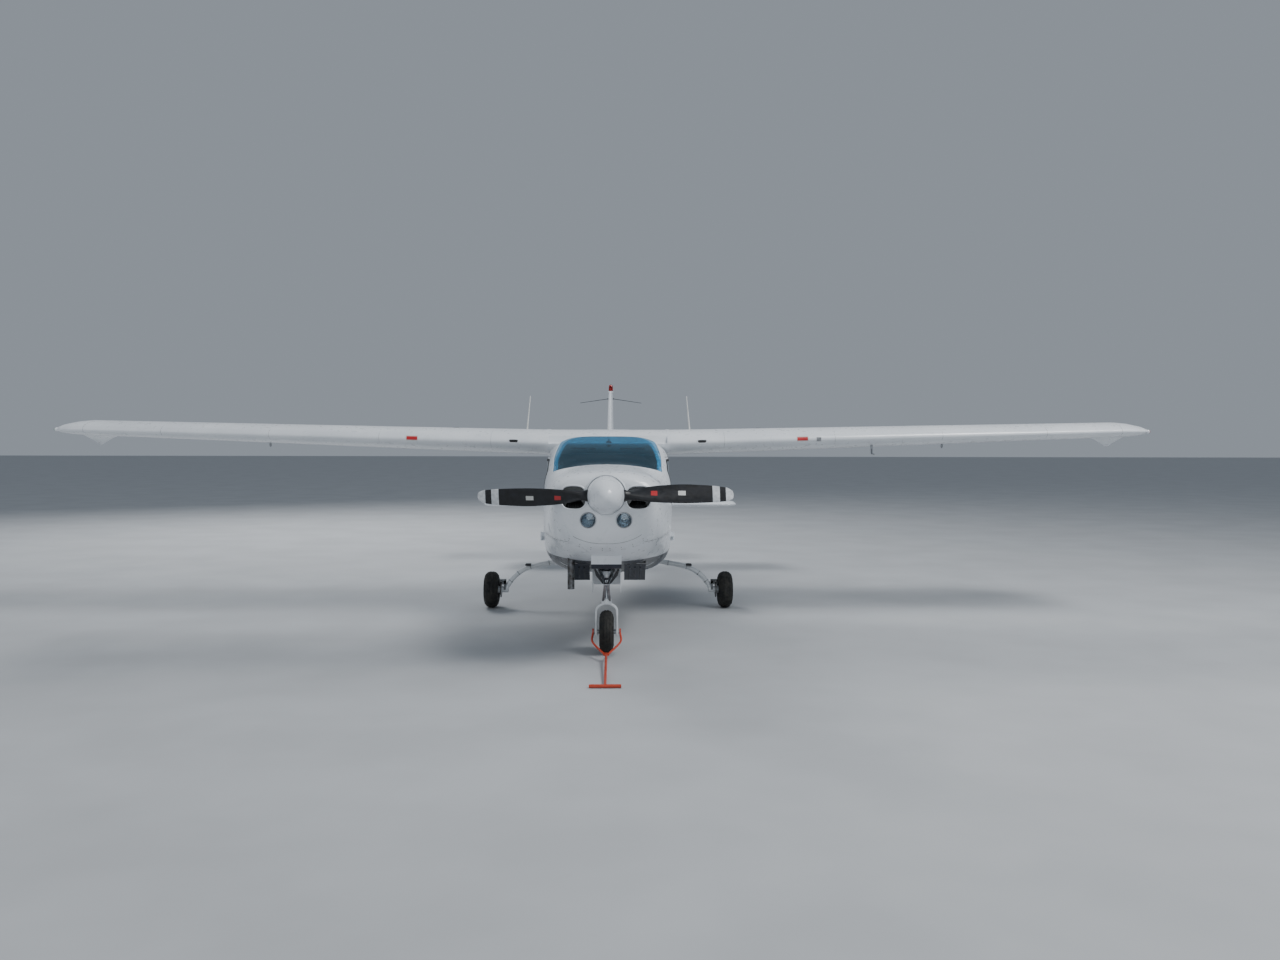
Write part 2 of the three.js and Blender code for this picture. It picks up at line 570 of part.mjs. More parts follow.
// Floor, aft bulkhead and furniture
const roomy = fuselageBody(cabinFront - 20, cabinEnd + 20, cabinWall + seatGap);
place('cabin_floor', roomy.intersect(block([-wide, cabinFront + 5, floorTop - 15], [wide, cabinEnd - 40, floorTop])), greyPlastic);
place('aft_bulkhead', roomy.intersect(block([-wide, cabinEnd - 30, 500], [wide, cabinEnd - 18, 2000])), greyPlastic);
const panel = { station: 1985, thickness: 30, low: 1090, high: 1478, halfWidth: 490 };
// It stands on a bracket each side, ahead of the doors
const bracket = { inner: 450, outer: 488, front: 1885, rear: 1928, low: 1180, high: 1420 };
const panelPlate = roomy.intersect(block([-panel.halfWidth, panel.station, panel.low],
  [panel.halfWidth, panel.station + panel.thickness, panel.high]));
const seatBase = [[2380, floorTop + seatGap], [2740, floorTop + seatGap], [2740, 900], [2380, 900]];
const seatOutline = [[2320, 890], [2800, 890], [2935, 1500], [2830, 1530], [2690, 1050], [2320, 1070]];
placePair('front_seat', join(crosswise(seatBase, 110, 395), crosswise(seatOutline, 55, 500)), fabric);
const benchBase = [[3240, floorTop + seatGap], [3600, floorTop + seatGap], [3600, 900], [3240, 900]];
const benchOutline = [[3170, 880], [3640, 880], [3790, 1440], [3690, 1470], [3545, 1020], [3170, 1040]];
place('rear_bench', join(crosswise(benchBase, -370, 370), crosswise(benchOutline, -500, 500)), fabric);
const yoke = { across: 290, height: 1290, reach: 190 };
const bracketLeft = join(
  roomy.intersect(block([bracket.inner, bracket.front, bracket.low], [wide, bracket.rear, bracket.high])),
  block([bracket.inner, bracket.front, bracket.low], [bracket.outer, panel.station + 5, bracket.high]));
const yokeLeft = join(bar([yoke.across, panel.station + 5, yoke.height],
  [yoke.across, panel.station + yoke.reach, yoke.height], 11),
  crosswise([[panel.station + yoke.reach - 15, yoke.height - 15], [panel.station + yoke.reach + 12, yoke.height - 15],
    [panel.station + yoke.reach + 12, yoke.height + 15], [panel.station + yoke.reach - 15, yoke.height + 15]],
  yoke.across - 130, yoke.across + 130),
  ...[-1, 1].map((side) => bar([yoke.across + side * 122, panel.station + yoke.reach, yoke.height],
    [yoke.across + side * 140, panel.station + yoke.reach, yoke.height + 110], 12, 12, 10)));
place('instrument_panel', join(panelPlate, bracketLeft, mirrored(bracketLeft), yokeLeft, mirrored(yokeLeft)), blackPaint);

// Tail cone, hollow and open to the cabin side
const torqueTubeRadius = 24;
const tailOuter = fuselageBody(cabinEnd + seatGap, tailConeEnd, 0);
const tailInner = fuselageBody(cabinEnd - 20, 7560, tailWall);
const torqueBore = bar([-300, stabilatorAxis.station, stabilatorAxis.height], [300, stabilatorAxis.station, stabilatorAxis.height], torqueTubeRadius + 0.8, torqueTubeRadius + 0.8, 16);
place('tail_cone', cut(tailOuter, tailInner, torqueBore), whitePaint);

// Fin, dorsal fillet and cap
const uprightRing = (leading, trailing, thickness, height) => {
  const chord = trailing - leading;
  return foilLoop(thickness / chord, 0, 0.001, tailFoilPoints).map(([u, v]) => [v * chord, leading + u * chord, height]);
};
// Height, leading edge, trailing edge of fin and rudder together, thickness
const finSections = [
  [1000, 5912, 7915, 132],
  [2404, 7500, 8284, 62],
];
const capSections = [
  [2404, 7500, 8284, 62],
  [2450, 7556, 8306, 56],
  [2480, 7600, 8310, 40],
  [2492, 7660, 8290, 14],
];
const finWhole = loft(finSections.map(([height, leading, trailing, thickness]) => uprightRing(leading, trailing, thickness, height)));
const finCap = loft(capSections.map(([height, leading, trailing, thickness]) => uprightRing(leading, trailing, thickness, height)));
const dorsal = crosswise([[5450, 1380], [5450, 1502], [6640, 1660], [6740, 1500], [6740, 1200]], -11, 11);
const rudderRadius = [58, 29];
const lyingRing = (point, radius, reach) => {
  const arc = Array.from({ length: 9 }, (unused, i) => {
    const turn = Math.PI / 2 + (i / 8) * Math.PI;
    return [radius * Math.sin(turn), point.station + radius * Math.cos(turn), point.height];
  });
  return [[0, point.station + reach, point.height], [reach * 0.4, point.station + reach, point.height], ...arc,
    [-reach * 0.4, point.station + reach, point.height]];
};
const rudderLine = (t) => ({
  station: rudderFoot.station + t * (rudderHead.station - rudderFoot.station),
  height: rudderFoot.height + t * (rudderHead.height - rudderFoot.height),
});
const rudderLength = rudderHead.height - rudderFoot.height;
const rudderRadiusAt = (t) => rudderRadius[0] + t * (rudderRadius[1] - rudderRadius[0]);
const rudderCove = loft([-0.2, (rudderLength + 4) / rudderLength].map((t) => lyingRing(rudderLine(t), rudderRadiusAt(t) + rudderGap, 900)));
const rudderNose = loft([0, 1 - rudderEndGap / rudderLength].map((t) => lyingRing(rudderLine(t), rudderRadiusAt(t), 900)));
const tailSeat = fuselageBody(cabinEnd, tailConeEnd, -seatGap);
const rudderPin = (t1, t2) => {
  const low = rudderLine(t1);
  const high = rudderLine(t2);
  return bar([0, low.station, low.height], [0, high.station, high.height], 9, 9, 12);
};
const fin = cut(join(finWhole, dorsal, finCap), tailSeat, rudderCove);
const beaconStation = 8000;
const beacon = join(bar([0, beaconStation, 2480], [0, beaconStation, 2502], 40, 40, 16),
  bar([0, beaconStation, 2500], [0, beaconStation, 2600], 32, 24, 16));
const rodRoot = { across: 14, station: 7700, height: 2383 };
const rodTip = { across: 450, station: 8020, height: 2330 };
const navigationRods = [-1, 1].map((side) => bar([side * rodRoot.across, rodRoot.station, rodRoot.height],
  [side * rodTip.across, rodTip.station, rodTip.height], 4.5, 3, 8));
place('fin', join(fin, beacon, ...navigationRods,
  rudderPin(1 - (rudderEndGap - 3.6) / rudderLength, 1.02)), whitePaint);
place('rudder', finWhole.intersect(rudderNose), whitePaint);

// Stabilator: distance out, leading edge, trailing edge, thickness
const stabilatorSections = [
  [118, 7425, 8285, 78],
  [1690, 7440, 8285, 76],
  [1770, 7462, 8278, 60],
  [1798, 7510, 8262, 30],
  [1805, 7560, 8240, 8],
];
const flatRing = ([across, leading, trailing, thickness]) => {
  const chord = trailing - leading;
  return foilLoop(thickness / chord, 0, 0.001, tailFoilPoints).map(([u, v]) => [across, leading + u * chord, stabilatorAxis.height + v * chord]);
};
const tab = { inner: 150, outer: 1250, station: 8140, radius: 11 };
const tabRing = (across, radius) => noseRing([across, tab.station, stabilatorAxis.height], radius, 400);
const stabilatorHalf = loft(stabilatorSections.map(flatRing));
const tabCove = loft([tabRing(tab.inner, tab.radius + movingGap), tabRing(tab.outer, tab.radius + movingGap)]);
const tabNose = loft([tabRing(tab.inner + movingGap, tab.radius), tabRing(tab.outer - movingGap, tab.radius)]);
const tabPins = [
  bar([tab.inner - 5, tab.station, stabilatorAxis.height], [tab.inner + movingGap - 0.7, tab.station, stabilatorAxis.height], 5, 5, 10),
  bar([tab.outer - movingGap + 0.7, tab.station, stabilatorAxis.height], [tab.outer + 5, tab.station, stabilatorAxis.height], 5, 5, 10),
];
const stabilatorLeft = join(cut(stabilatorHalf, tabCove), ...tabPins);
place('stabilator', join(stabilatorLeft, mirrored(stabilatorLeft),
  bar([-125, stabilatorAxis.station, stabilatorAxis.height], [125, stabilatorAxis.station, stabilatorAxis.height], torqueTubeRadius, torqueTubeRadius, 24)), whitePaint);
placePair('trim_tab', stabilatorHalf.intersect(tabNose), whitePaint);

// Propeller: spinner with a deep seat for each blade
const spinnerProfile = [[0, 0], [28, 6], [62, 30], [98, 80], [126, 145], [142, 215], [148, 290], [148, spinnerRear], [0, spinnerRear]];
const bladeShank = 44;
const bladeSeat = 62;
const shankHoles = [-1, 1].map((side) => bar([side * bladeSeat, propStation, propAxisHeight],
  [side * 200, propStation, propAxisHeight], bladeShank + seatGap * 2, bladeShank + seatGap * 2, 20));
place('spinner', cut(turned(spinnerProfile, [0, 0, propAxisHeight], [0, 1, 0], 16), ...shankHoles), whitePaint);
// Distance out, chord, thickness, pitch in degrees
const bladeSections = [
  [150, 88, 70, 60],
  [230, 120, 48, 48],
  [380, 158, 32, 38],
  [600, 165, 22, 28],
  [820, 140, 15, 22],
  [940, 112, 10, 19],
  [980, 70, 6, 18],
  [990, 30, 3, 18],
];
const bladeRing = ([out, chord, thickness, pitch]) => {
  const tilt = THREE.MathUtils.degToRad(pitch);
  return foilLoop(thickness / chord, 0.01, 0.01, tailFoilPoints).map(([u, v]) => {
    const along = (u - 0.4) * chord;
    const above = v * chord;
    return [out, propStation + along * Math.sin(tilt) - above * Math.cos(tilt),
      propAxisHeight + along * Math.cos(tilt) + above * Math.sin(tilt)];
  });
};
const blade = join(loft(bladeSections.map(bladeRing)), bar([bladeSeat + seatGap, propStation, propAxisHeight],
  [190, propStation, propAxisHeight], bladeShank, bladeShank * 0.8, 20));
// The right blade is the left one turned half a turn about the shaft
const halfTurn = (solid) => {
  const geometry = toGeometry(solid);
  geometry.translate(0, 0, -propAxisHeight);
  geometry.rotateY(Math.PI);
  geometry.translate(0, 0, propAxisHeight);
  return toSolid(geometry);
};
place('blade_left', blade, blackPaint);
place('blade_right', halfTurn(blade), blackPaint);

// Wheels: tyre and rim turned about the axle
const tyreProfile = ({ radius, width, rim }) => {
  const half = width / 2;
  const outer = Array.from({ length: 9 }, (unused, i) => {
    const turn = Math.PI * (i / 8);
    const square = (value) => Math.sign(value) * Math.abs(value) ** 0.8;
    return [rim + 14 + (radius - rim - 14) * Math.abs(Math.sin(turn)) ** 0.8, -half * square(Math.cos(turn))];
  });
  return [[rim, -half * 0.72], ...outer, [rim, half * 0.72], [rim, -half * 0.72]];
};
// The rim's flat sides stay inside those of the tyre
const rimClearance = 0.9;
const rimProfile = ({ width, rim }, boreRadius) => {
  const half = width * 0.38;
  const edge = rim - rimClearance;
  return [[boreRadius, -half], [edge, -half], [edge, half - 2], [rim - 18, half - 2],
    [rim - 26, half - 16], [boreRadius + 22, half - 16], [boreRadius + 18, half + 2], [boreRadius, half + 2],
    [boreRadius, -half]];
};
const boreRadius = axleRadius + 0.8;
const wheelSides = 30;
const rimSides = 20;
const brake = { radius: 84, thickness: 8, inboard: 46, clearance: 5 };
const rimFace = mainTyre.width * 0.38;
const mainHub = [mainAxle.across, mainAxle.station, mainAxle.height];
// The brake disc stands on a short sleeve inboard of the rim
const discFace = -rimFace - brake.inboard;
const mainRimProfile = [...rimProfile(mainTyre, boreRadius).slice(0, -1), [boreRadius, discFace],
  [brake.radius, discFace], [brake.radius, discFace + brake.thickness], [40, discFace + brake.thickness], [40, -rimFace]];
placePair('main_rim', turned([...mainRimProfile.slice(1), mainRimProfile[1]], mainHub, [1, 0, 0], rimSides), whitePaint);
placePair('main_tyre', turned(tyreProfile(mainTyre), [mainAxle.across, mainAxle.station, mainAxle.height], [1, 0, 0], wheelSides), rubber);
place('nose_rim', turned(rimProfile(noseTyre, boreRadius), [0, noseAxle.station, noseAxle.height], [1, 0, 0], rimSides), whitePaint);
place('nose_tyre', turned(tyreProfile(noseTyre), [0, noseAxle.station, noseAxle.height], [1, 0, 0], wheelSides), rubber);

// Main gear legs
const axleInner = mainAxle.across + discFace - seatGap;
const axleOuter = mainAxle.across + rimFace;
const pivot = { across: 340, station: 3600, height: 520 };
const legPoints = [
  [pivot.across, pivot.station, pivot.height],
  [590, 3585, 478],
  [840, 3550, 430],
  [990, 3525, 345],
  [1085, 3505, 225],
  [1092, mainAxle.station, mainAxle.height],
];
const pivotHousing = cut(block([pivot.across - 90, pivot.station - 110, pivot.height - 45],
  [pivot.across + 90, pivot.station + 110, 700]), fuselageBody(3000, 4200, -seatGap));
const calliperLow = mainAxle.height + 55;
const calliperHigh = mainAxle.height + brake.radius + 22;
const leg = join(bentTube(legPoints, 26, 12), pivotHousing,
  bar([1070, mainAxle.station, mainAxle.height], [axleInner, mainAxle.station, mainAxle.height], 33),
  bar([1070, mainAxle.station, mainAxle.height], [axleOuter + 10, mainAxle.station, mainAxle.height], axleRadius, axleRadius, 16),
  bar([axleOuter + 2.6, mainAxle.station, mainAxle.height], [axleOuter + 16, mainAxle.station, mainAxle.height], 24, 20),
  block([1096, mainAxle.station - 34, mainAxle.height], [1118, mainAxle.station + 34, calliperHigh]),
  block([1096, mainAxle.station - 34, calliperLow], [1164, mainAxle.station + 34, calliperHigh]),
  block([830, 3480, 448], [890, 3590, 462]));
// Room for the disc in the calliper
const discRoom = turned([[36, -brake.clearance], [brake.radius + brake.clearance, -brake.clearance],
  [brake.radius + brake.clearance, brake.thickness + brake.clearance], [36, brake.thickness + brake.clearance],
  [36, -brake.clearance]], [mainAxle.across + discFace, mainAxle.station, mainAxle.height], [1, 0, 0], 20);
placePair('main_leg', cut(leg, discRoom), whitePaint);

// Nose gear
const strut = { radius: 38, low: 620, high: 990, mountHeight: 935 };
// The door plate carried behind the strut, clear of the collar that turns with the fork
const backPlate = { halfWidth: 114, front: 1043, thickness: 6, low: 571, high: 790, bracketHeight: 724 };
place('nose_strut', join(bar([0, noseAxle.station, strut.low], [0, noseAxle.station, strut.high], strut.radius, strut.radius, 16),
  bar([-95, noseAxle.station, strut.mountHeight], [95, noseAxle.station, strut.mountHeight], 16),
  ...[-1, 1].map((side) => bar([side * 82, noseAxle.station, strut.mountHeight],
    [side * 82, firewallFront - seatGap, strut.mountHeight], 15, 15, 10)),
  block([-backPlate.halfWidth, backPlate.front, backPlate.low],
    [backPlate.halfWidth, backPlate.front + backPlate.thickness, backPlate.high]),
  bar([0, noseAxle.station, backPlate.bracketHeight], [0, backPlate.front + 3, backPlate.bracketHeight], 13)), whitePaint);
const forkArm = { inner: 78, outer: 97, top: 430, depth: 34 };
const fork = join(
  bar([0, noseAxle.station, forkArm.top - 10], [0, noseAxle.station, strut.low - seatGap], 26, 26, 16),
  bar([0, noseAxle.station, forkArm.top - 10], [0, noseAxle.station, forkArm.top + 32], 44, 40, 16),
  block([-forkArm.outer, noseAxle.station - forkArm.depth, forkArm.top - 30], [forkArm.outer, noseAxle.station + forkArm.depth, forkArm.top]),
  ...[-1, 1].map((side) => block([Math.min(side * forkArm.inner, side * forkArm.outer), noseAxle.station - forkArm.depth, noseAxle.height - 26],
    [Math.max(side * forkArm.inner, side * forkArm.outer), noseAxle.station + forkArm.depth, forkArm.top])),
  bar([-122, noseAxle.station, noseAxle.height], [122, noseAxle.station, noseAxle.height], axleRadius, axleRadius, 16));
const linkTip = { station: 868, height: 592 };
const linkArm = (side, spread, station, height) => bar([side * spread, station, height],
  [side * 12, linkTip.station, linkTip.height], 11, 9, 8);
const steeringCollar = turned([[strut.radius + 0.8, 640], [56, 640], [56, 700], [strut.radius + 0.8, 700], [strut.radius + 0.8, 640]],
  [0, noseAxle.station, 0], [0, 0, 1], 16);
const linkClear = bar([0, noseAxle.station, 610], [0, noseAxle.station, 1000], strut.radius + 0.8, strut.radius + 0.8, 16);
const torqueLinks = join(steeringCollar,
  ...[-1, 1].map((side) => linkArm(side, 42, 945, 672)), ...[-1, 1].map((side) => linkArm(side, 28, 950, 446)),
  bar([-24, linkTip.station, linkTip.height], [24, linkTip.station, linkTip.height], 14, 14, 12));
place('nose_fork', join(fork, cut(torqueLinks, linkClear)), whitePaint);

// Tow bar, hooked over the nose axle's ends
const towHook = { across: 112, thickness: 10 };
const towApex = { station: 600, height: 60 };
const towArm = (side) => join(
  bar([side * (towHook.across - 4), noseAxle.station, noseAxle.height], [side * (towHook.across + 8), noseAxle.station, noseAxle.height], 26, 26, 16),
  bar([side * (towHook.across + 3), noseAxle.station, noseAxle.height], [side * (towHook.across + 3), 870, 110], 9, 9, 10),
  bar([side * (towHook.across + 3), 872, 111], [side * 14, towApex.station, towApex.height], 9, 9, 10));
place('tow_bar', cut(join(towArm(-1), towArm(1), bar([0, towApex.station + 14, towApex.height + 2], [0, towGripStation, towGripRadius + 1], 11, 11, 12),
  bar([-30, towApex.station, towApex.height], [30, towApex.station, towApex.height], 13, 13, 12),
  bar([-118, towGripStation, towGripRadius + 1], [118, towGripStation, towGripRadius + 1], towGripRadius, towGripRadius, 16)),
bar([-130, noseAxle.station, noseAxle.height], [130, noseAxle.station, noseAxle.height], axleRadius + 0.6, axleRadius + 0.6, 24)), redPaint);

aircraft.position.y = -centreStation;
const group = new THREE.Group();
group.add(aircraft);
export default group;
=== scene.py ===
# Four-seat high-wing light aircraft parked on its gear: the finish and fine form of every piece.
# Forms are worked out in millimetres as (across, station, height): across to the pilot's left,
# stations aft from the spinner's tip, heights up from the ground. placed() turns them to the frame.
import json
import math

import bpy
import numpy as np
from mathutils import Euler, Matrix, Vector
from mathutils.bvhtree import BVHTree

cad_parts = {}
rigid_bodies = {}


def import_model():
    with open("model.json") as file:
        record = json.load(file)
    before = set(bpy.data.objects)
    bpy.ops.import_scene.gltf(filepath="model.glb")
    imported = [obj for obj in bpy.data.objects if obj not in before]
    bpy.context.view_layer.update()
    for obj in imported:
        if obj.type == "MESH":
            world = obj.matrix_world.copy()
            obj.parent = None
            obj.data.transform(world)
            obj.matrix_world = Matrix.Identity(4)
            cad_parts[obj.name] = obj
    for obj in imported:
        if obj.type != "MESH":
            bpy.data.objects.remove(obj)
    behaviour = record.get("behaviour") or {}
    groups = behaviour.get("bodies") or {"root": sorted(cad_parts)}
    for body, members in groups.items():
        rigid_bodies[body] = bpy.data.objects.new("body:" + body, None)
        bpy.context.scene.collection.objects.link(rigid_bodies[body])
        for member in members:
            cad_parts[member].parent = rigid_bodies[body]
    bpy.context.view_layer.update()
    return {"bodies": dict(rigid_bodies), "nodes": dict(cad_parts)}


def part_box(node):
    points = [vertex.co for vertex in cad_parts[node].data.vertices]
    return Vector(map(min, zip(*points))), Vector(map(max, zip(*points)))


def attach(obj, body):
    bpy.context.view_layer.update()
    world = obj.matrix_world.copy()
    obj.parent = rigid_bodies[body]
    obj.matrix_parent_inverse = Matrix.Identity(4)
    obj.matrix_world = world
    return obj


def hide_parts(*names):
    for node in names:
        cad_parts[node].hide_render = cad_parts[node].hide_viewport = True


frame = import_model()
tip_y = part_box("spinner")[0].y

ACROSS, AFT, UP = (1, 0, 0), (0, 1, 0), (0, 0, 1)
SIDES = ((1, "left"), (-1, "right"))


def rectangle(left, low, right, high):
    return [(left, low), (right, low), (right, high), (left, high)]


# Driving dimensions, millimetres
PROP_HEIGHT = 1365
PROP_STATION = 262
SPINNER_REAR = 334
COWL_FRONT, COWL_SEAM, COWL_SPLIT = 365, 520, 980
FIREWALL, CABIN_FRONT, CABIN_END = 1450, 1462.3, 4300
TAIL_CONE_END = 7950
COWL_WALL, BOWL_WALL, CABIN_WALL, TAIL_WALL = 10, 14, 30, 12
GLASS = 8
FLOOR_TOP = 655
SEAM_GAP = 1.2
DOOR_GAP = 5
HIDDEN_GAP = 0.3
# Farther from the middle than any skin of the fuselage
OUTSIDE = 800

# Wing at its root and where the tip begins
WING_ROOT = dict(across=580, leading=2385, height=1768, chord=1665, thickness=0.15, incidence=3.5)
WING_TIP = dict(across=5100, leading=2480, height=1886, chord=1235, thickness=0.12, incidence=0.6)
CAMBER, CAMBER_PLACE = 0.02, 0.4
FLAP_SPAN, FLAP_HINGE = (640, 2990), 0.72
AILERON_SPAN, AILERON_HINGE = (3015, 5060), 0.77

# Wheels and axles
MAIN_AXLE = (1247, 3500, 193)
NOSE_AXLE = (0, 980, 180)
MAIN_TYRE = dict(radius=193, width=152, rim=88)
NOSE_TYRE = dict(radius=180, width=122, rim=74)

# Tail
STABILATOR_STATION, STABILATOR_HEIGHT = 7680, 870
RUDDER_FOOT, RUDDER_HEAD = (7509, 1075), (7945, 2400)

# Fuselage sections: station, half width, height of the widest line, top, bottom, and how square
# the section is above and below the widest line (2 is an ellipse)
FUSELAGE = np.array([
    [365, 290, 1350, 1470, 1150, 2.3, 2.2],
    [380, 345, 1350, 1503, 1080, 2.3, 2.2],
    [420, 395, 1348, 1527, 1010, 2.4, 2.3],
    [500, 430, 1342, 1541, 935, 2.5, 2.4],
    [650, 462, 1325, 1550, 855, 2.6, 2.6],
    [850, 490, 1300, 1556, 795, 2.6, 2.8],
    [1150, 520, 1255, 1562, 728, 2.6, 3.1],
    [1450, 548, 1205, 1566, 650, 2.6, 3.6],
    [1700, 570, 1170, 1572, 598, 2.8, 4.0],
    [1900, 588, 1155, 1640, 580, 3.1, 4.2],
    [2100, 602, 1150, 1722, 568, 3.6, 4.4],
    [2300, 610, 1150, 1790, 561, 4.0, 4.4],
    [2450, 613, 1150, 1832, 558, 4.3, 4.4],
    [2700, 615, 1150, 1880, 556, 4.4, 4.3],
    [3100, 615, 1150, 1900, 556, 4.4, 4.1],
    [3600, 600, 1150, 1880, 556, 4.1, 4.0],
    [4000, 560, 1140, 1815, 566, 3.6, 3.8],
    [4400, 490, 1130, 1720, 590, 3.0, 3.4],
    [5000, 375, 1110, 1590, 640, 2.7, 3.0],
    [5600, 285, 1085, 1470, 690, 2.5, 2.7],
    [6200, 215, 1055, 1360, 735, 2.3, 2.5],
    [6800, 155, 1020, 1250, 772, 2.2, 2.3],
    [7300, 108, 975, 1132, 800, 2.1, 2.2],
    [7440, 96, 958, 1062, 809, 2.1, 2.1],
    [7700, 70, 930, 1020, 828, 2.0, 2.0],
    [7950, 36, 910, 952, 862, 2.0, 2.0],
])

# Panel outlines in the side view, as (station, height)
WINDSCREEN = [(1690, 1556), (1870, 1490), (2415, 1772), (2455, 1860), (2455, 2100), (1690, 2100)]
SCUTTLE = [(1440, 1300), (1870, 1300), (1870, 1490), (1690, 1556), (1690, 2100), (1440, 2100)]
BELLY = rectangle(1440, 400, 4320, 740)
ROOF = [(2240, 1655), (4320, 1655), (4320, 2100), (2455, 2100), (2455, 1860), (2415, 1772),
        (2240, 1681.4)]
DOOR = [(1960, 775), (3140, 775), (3165, 1632), (2241, 1632), (1960, 1486)]
DOOR_WINDOW = [(2050, 1190), (3075, 1190), (3096, 1596), (2239, 1596), (2050, 1498)]
REAR_WINDOW = [(3235, 1205), (3880, 1235), (4050, 1345), (3900, 1530), (3235, 1588)]
BAGGAGE_DOOR = [(3740, 850), (4180, 850), (4180, 1180), (3740, 1165)]

# Camera, where the photograph was taken from
FOCAL_PIXELS, PHOTO_WIDTH, SENSOR_WIDTH = 1102.1, 1280, 36.0
CAMERA_PLACE = (0.0778, -12.240, 1.805)
CAMERA_PITCH, CAMERA_TURN, CAMERA_ROLL = -0.0374, -0.0218, 0.002


def linked(made):
    bpy.context.scene.collection.objects.link(made)
    return made


def set_camera():
    lens = bpy.data.cameras.new("camera")
    lens.sensor_width = SENSOR_WIDTH
    lens.lens = FOCAL_PIXELS / PHOTO_WIDTH * SENSOR_WIDTH
    camera = linked(bpy.data.objects.new("camera", lens))
    aim = Euler((math.pi / 2 + CAMERA_PITCH, 0, CAMERA_TURN)).to_matrix()
    aim = aim @ Matrix.Rotation(CAMERA_ROLL, 3, "Z")
    camera.matrix_world = Matrix.Translation(CAMERA_PLACE) @ aim.to_4x4()
    bpy.context.scene.camera = camera


set_camera()


# Colours and shader nodes
def colour(text):
    """An sRGB hex colour as linear red, green, blue and alpha."""
    channels = [int(text[i:i + 2], 16) / 255 for i in (1, 3, 5)]
    linear = [c / 12.92 if c <= 0.04045 else ((c + 0.055) / 1.055) ** 2.4 for c in channels]
    return (*linear, 1.0)


def feed(tree, node, inputs):
    """Sets each input of a node to a value or links it from a socket."""
    for key, value in inputs.items():
        if isinstance(value, bpy.types.NodeSocket):
            tree.links.new(value, node.inputs[key])
        else:
            node.inputs[key].default_value = value


def add(tree, kind, inputs=None, **settings):
    """A node of that kind with its settings and inputs."""
    made = tree.nodes.new("ShaderNode" + kind)
    for key, value in settings.items():
        setattr(made, key, value)
    feed(tree, made, inputs or {})
    return made


def place_on(tree):
    """Where a point lies on the object, in the object's own axes."""
    return add(tree, "TexCoord").outputs["Object"]


# Socket numbers of the Mix node for colours, whose names repeat
MIX_SHARE, MIX_FIRST, MIX_SECOND, MIX_OUT = 0, 6, 7, 2


def mixed(tree, share, first, second):
    made = add(tree, "Mix", {MIX_SHARE: share, MIX_FIRST: first, MIX_SECOND: second},
               data_type="RGBA")
    return made.outputs[MIX_OUT]


def per(millimetres):
    """The scale of a pattern whose features are that size."""
    return 1000 / millimetres


def pattern(tree, size, detail=2.0, stretch=None):
    """Noise with features of size millimetres, from 0 to 1; stretch scales each axis."""
    where = place_on(tree)
    if stretch:
        where = add(tree, "Mapping", {"Vector": where, "Scale": stretch}).outputs["Vector"]
    return add(tree, "TexNoise", {"Vector": where, "Scale": per(size), "Detail": detail}).outputs["Fac"]


def ranged(tree, value, low, high, start=0.35, stop=0.65):
    made = add(tree, "MapRange", {"Value": value, "From Min": start, "From Max": stop,
                                  "To Min": low, "To Max": high})
    return made.outputs["Result"]


def varied(tree, features, low, high):
    """A value that wanders from low to high in a pattern of those features."""
    return ranged(tree, pattern(tree, *features), low, high)


def bumped(tree, height, depth, strength):
    """A normal from a height pattern that is depth millimetres deep."""
    made = add(tree, "Bump", {"Height": height, "Distance": depth / 1000, "Strength": strength})
    return made.outputs["Normal"]


def blank_material(name, **sockets):
    """A material with one Principled shader and the given constant sockets."""
    material = bpy.data.materials.new(name)
    material.use_nodes = True
    tree = material.node_tree
    shader = tree.nodes["Principled BSDF"]
    for key, value in sockets.items():
        shader.inputs[key.replace("_", " ").title().replace("Ior", "IOR")].default_value = value
    return material, tree, shader


def finish_with(tree, shader, base, roughness, normal=None):
    feed(tree, shader, {"Base Color": base, "Roughness": roughness})
    if normal is not None:
        feed(tree, shader, {"Normal": normal})


# Materials
def worn(name, tones, clouds, gloss, grain=None, **sockets):
    """Two tones in clouds, a gloss that varies and a grain pressed in. Each starts with its pattern; then
    clouds has the second tone's share, gloss its range, and grain its depth in millimetres and strength."""
    material, tree, shader = blank_material(name, **sockets)
    base = mixed(tree, varied(tree, clouds[0], 0, clouds[1]), *map(colour, tones))
    normal = bumped(tree, pattern(tree, *grain[0]), *grain[1:]) if grain else None
    finish_with(tree, shader, base, varied(tree, *gloss), normal)
    return material


ENAMEL = dict(coat_weight=0.35, coat_roughness=0.07, ior=1.5)


def sprayed_enamel(name, main, aged, gloss=0.26):
    """Polyurethane enamel: a soft gloss, a faint orange peel and a little grime."""
    return worn(name, (main, aged), ((420, 4), 0.7), ((55, 6), gloss, gloss + 0.14),
                ((3,), 0.04, 0.35), **ENAMEL)


def machined_steel(name, main="#b4b7ba", rough=0.28):
    """Turned and ground steel: bright, with faint rings left by the tool."""
    rings = (2.5, 2, (0.15, 1, 1))
    return worn(name, (main, "#8b8d90"), ((40, 4), 1), (rings, rough, rough + 0.15), (rings, 0.05, 0.4),
                metallic=1)


def moulded_plastic(name, main, second, rough=0.45):
    """Injection-moulded plastic: an even colour with a fine spark-eroded texture."""
    return worn(name, (main, second), ((90, 3), 1), ((15, 3), rough, rough + 0.1),
                ((0.9,), 0.05, 0.5), ior=1.53)


# The navy paint starts at this height
PAINT_LINE = 783


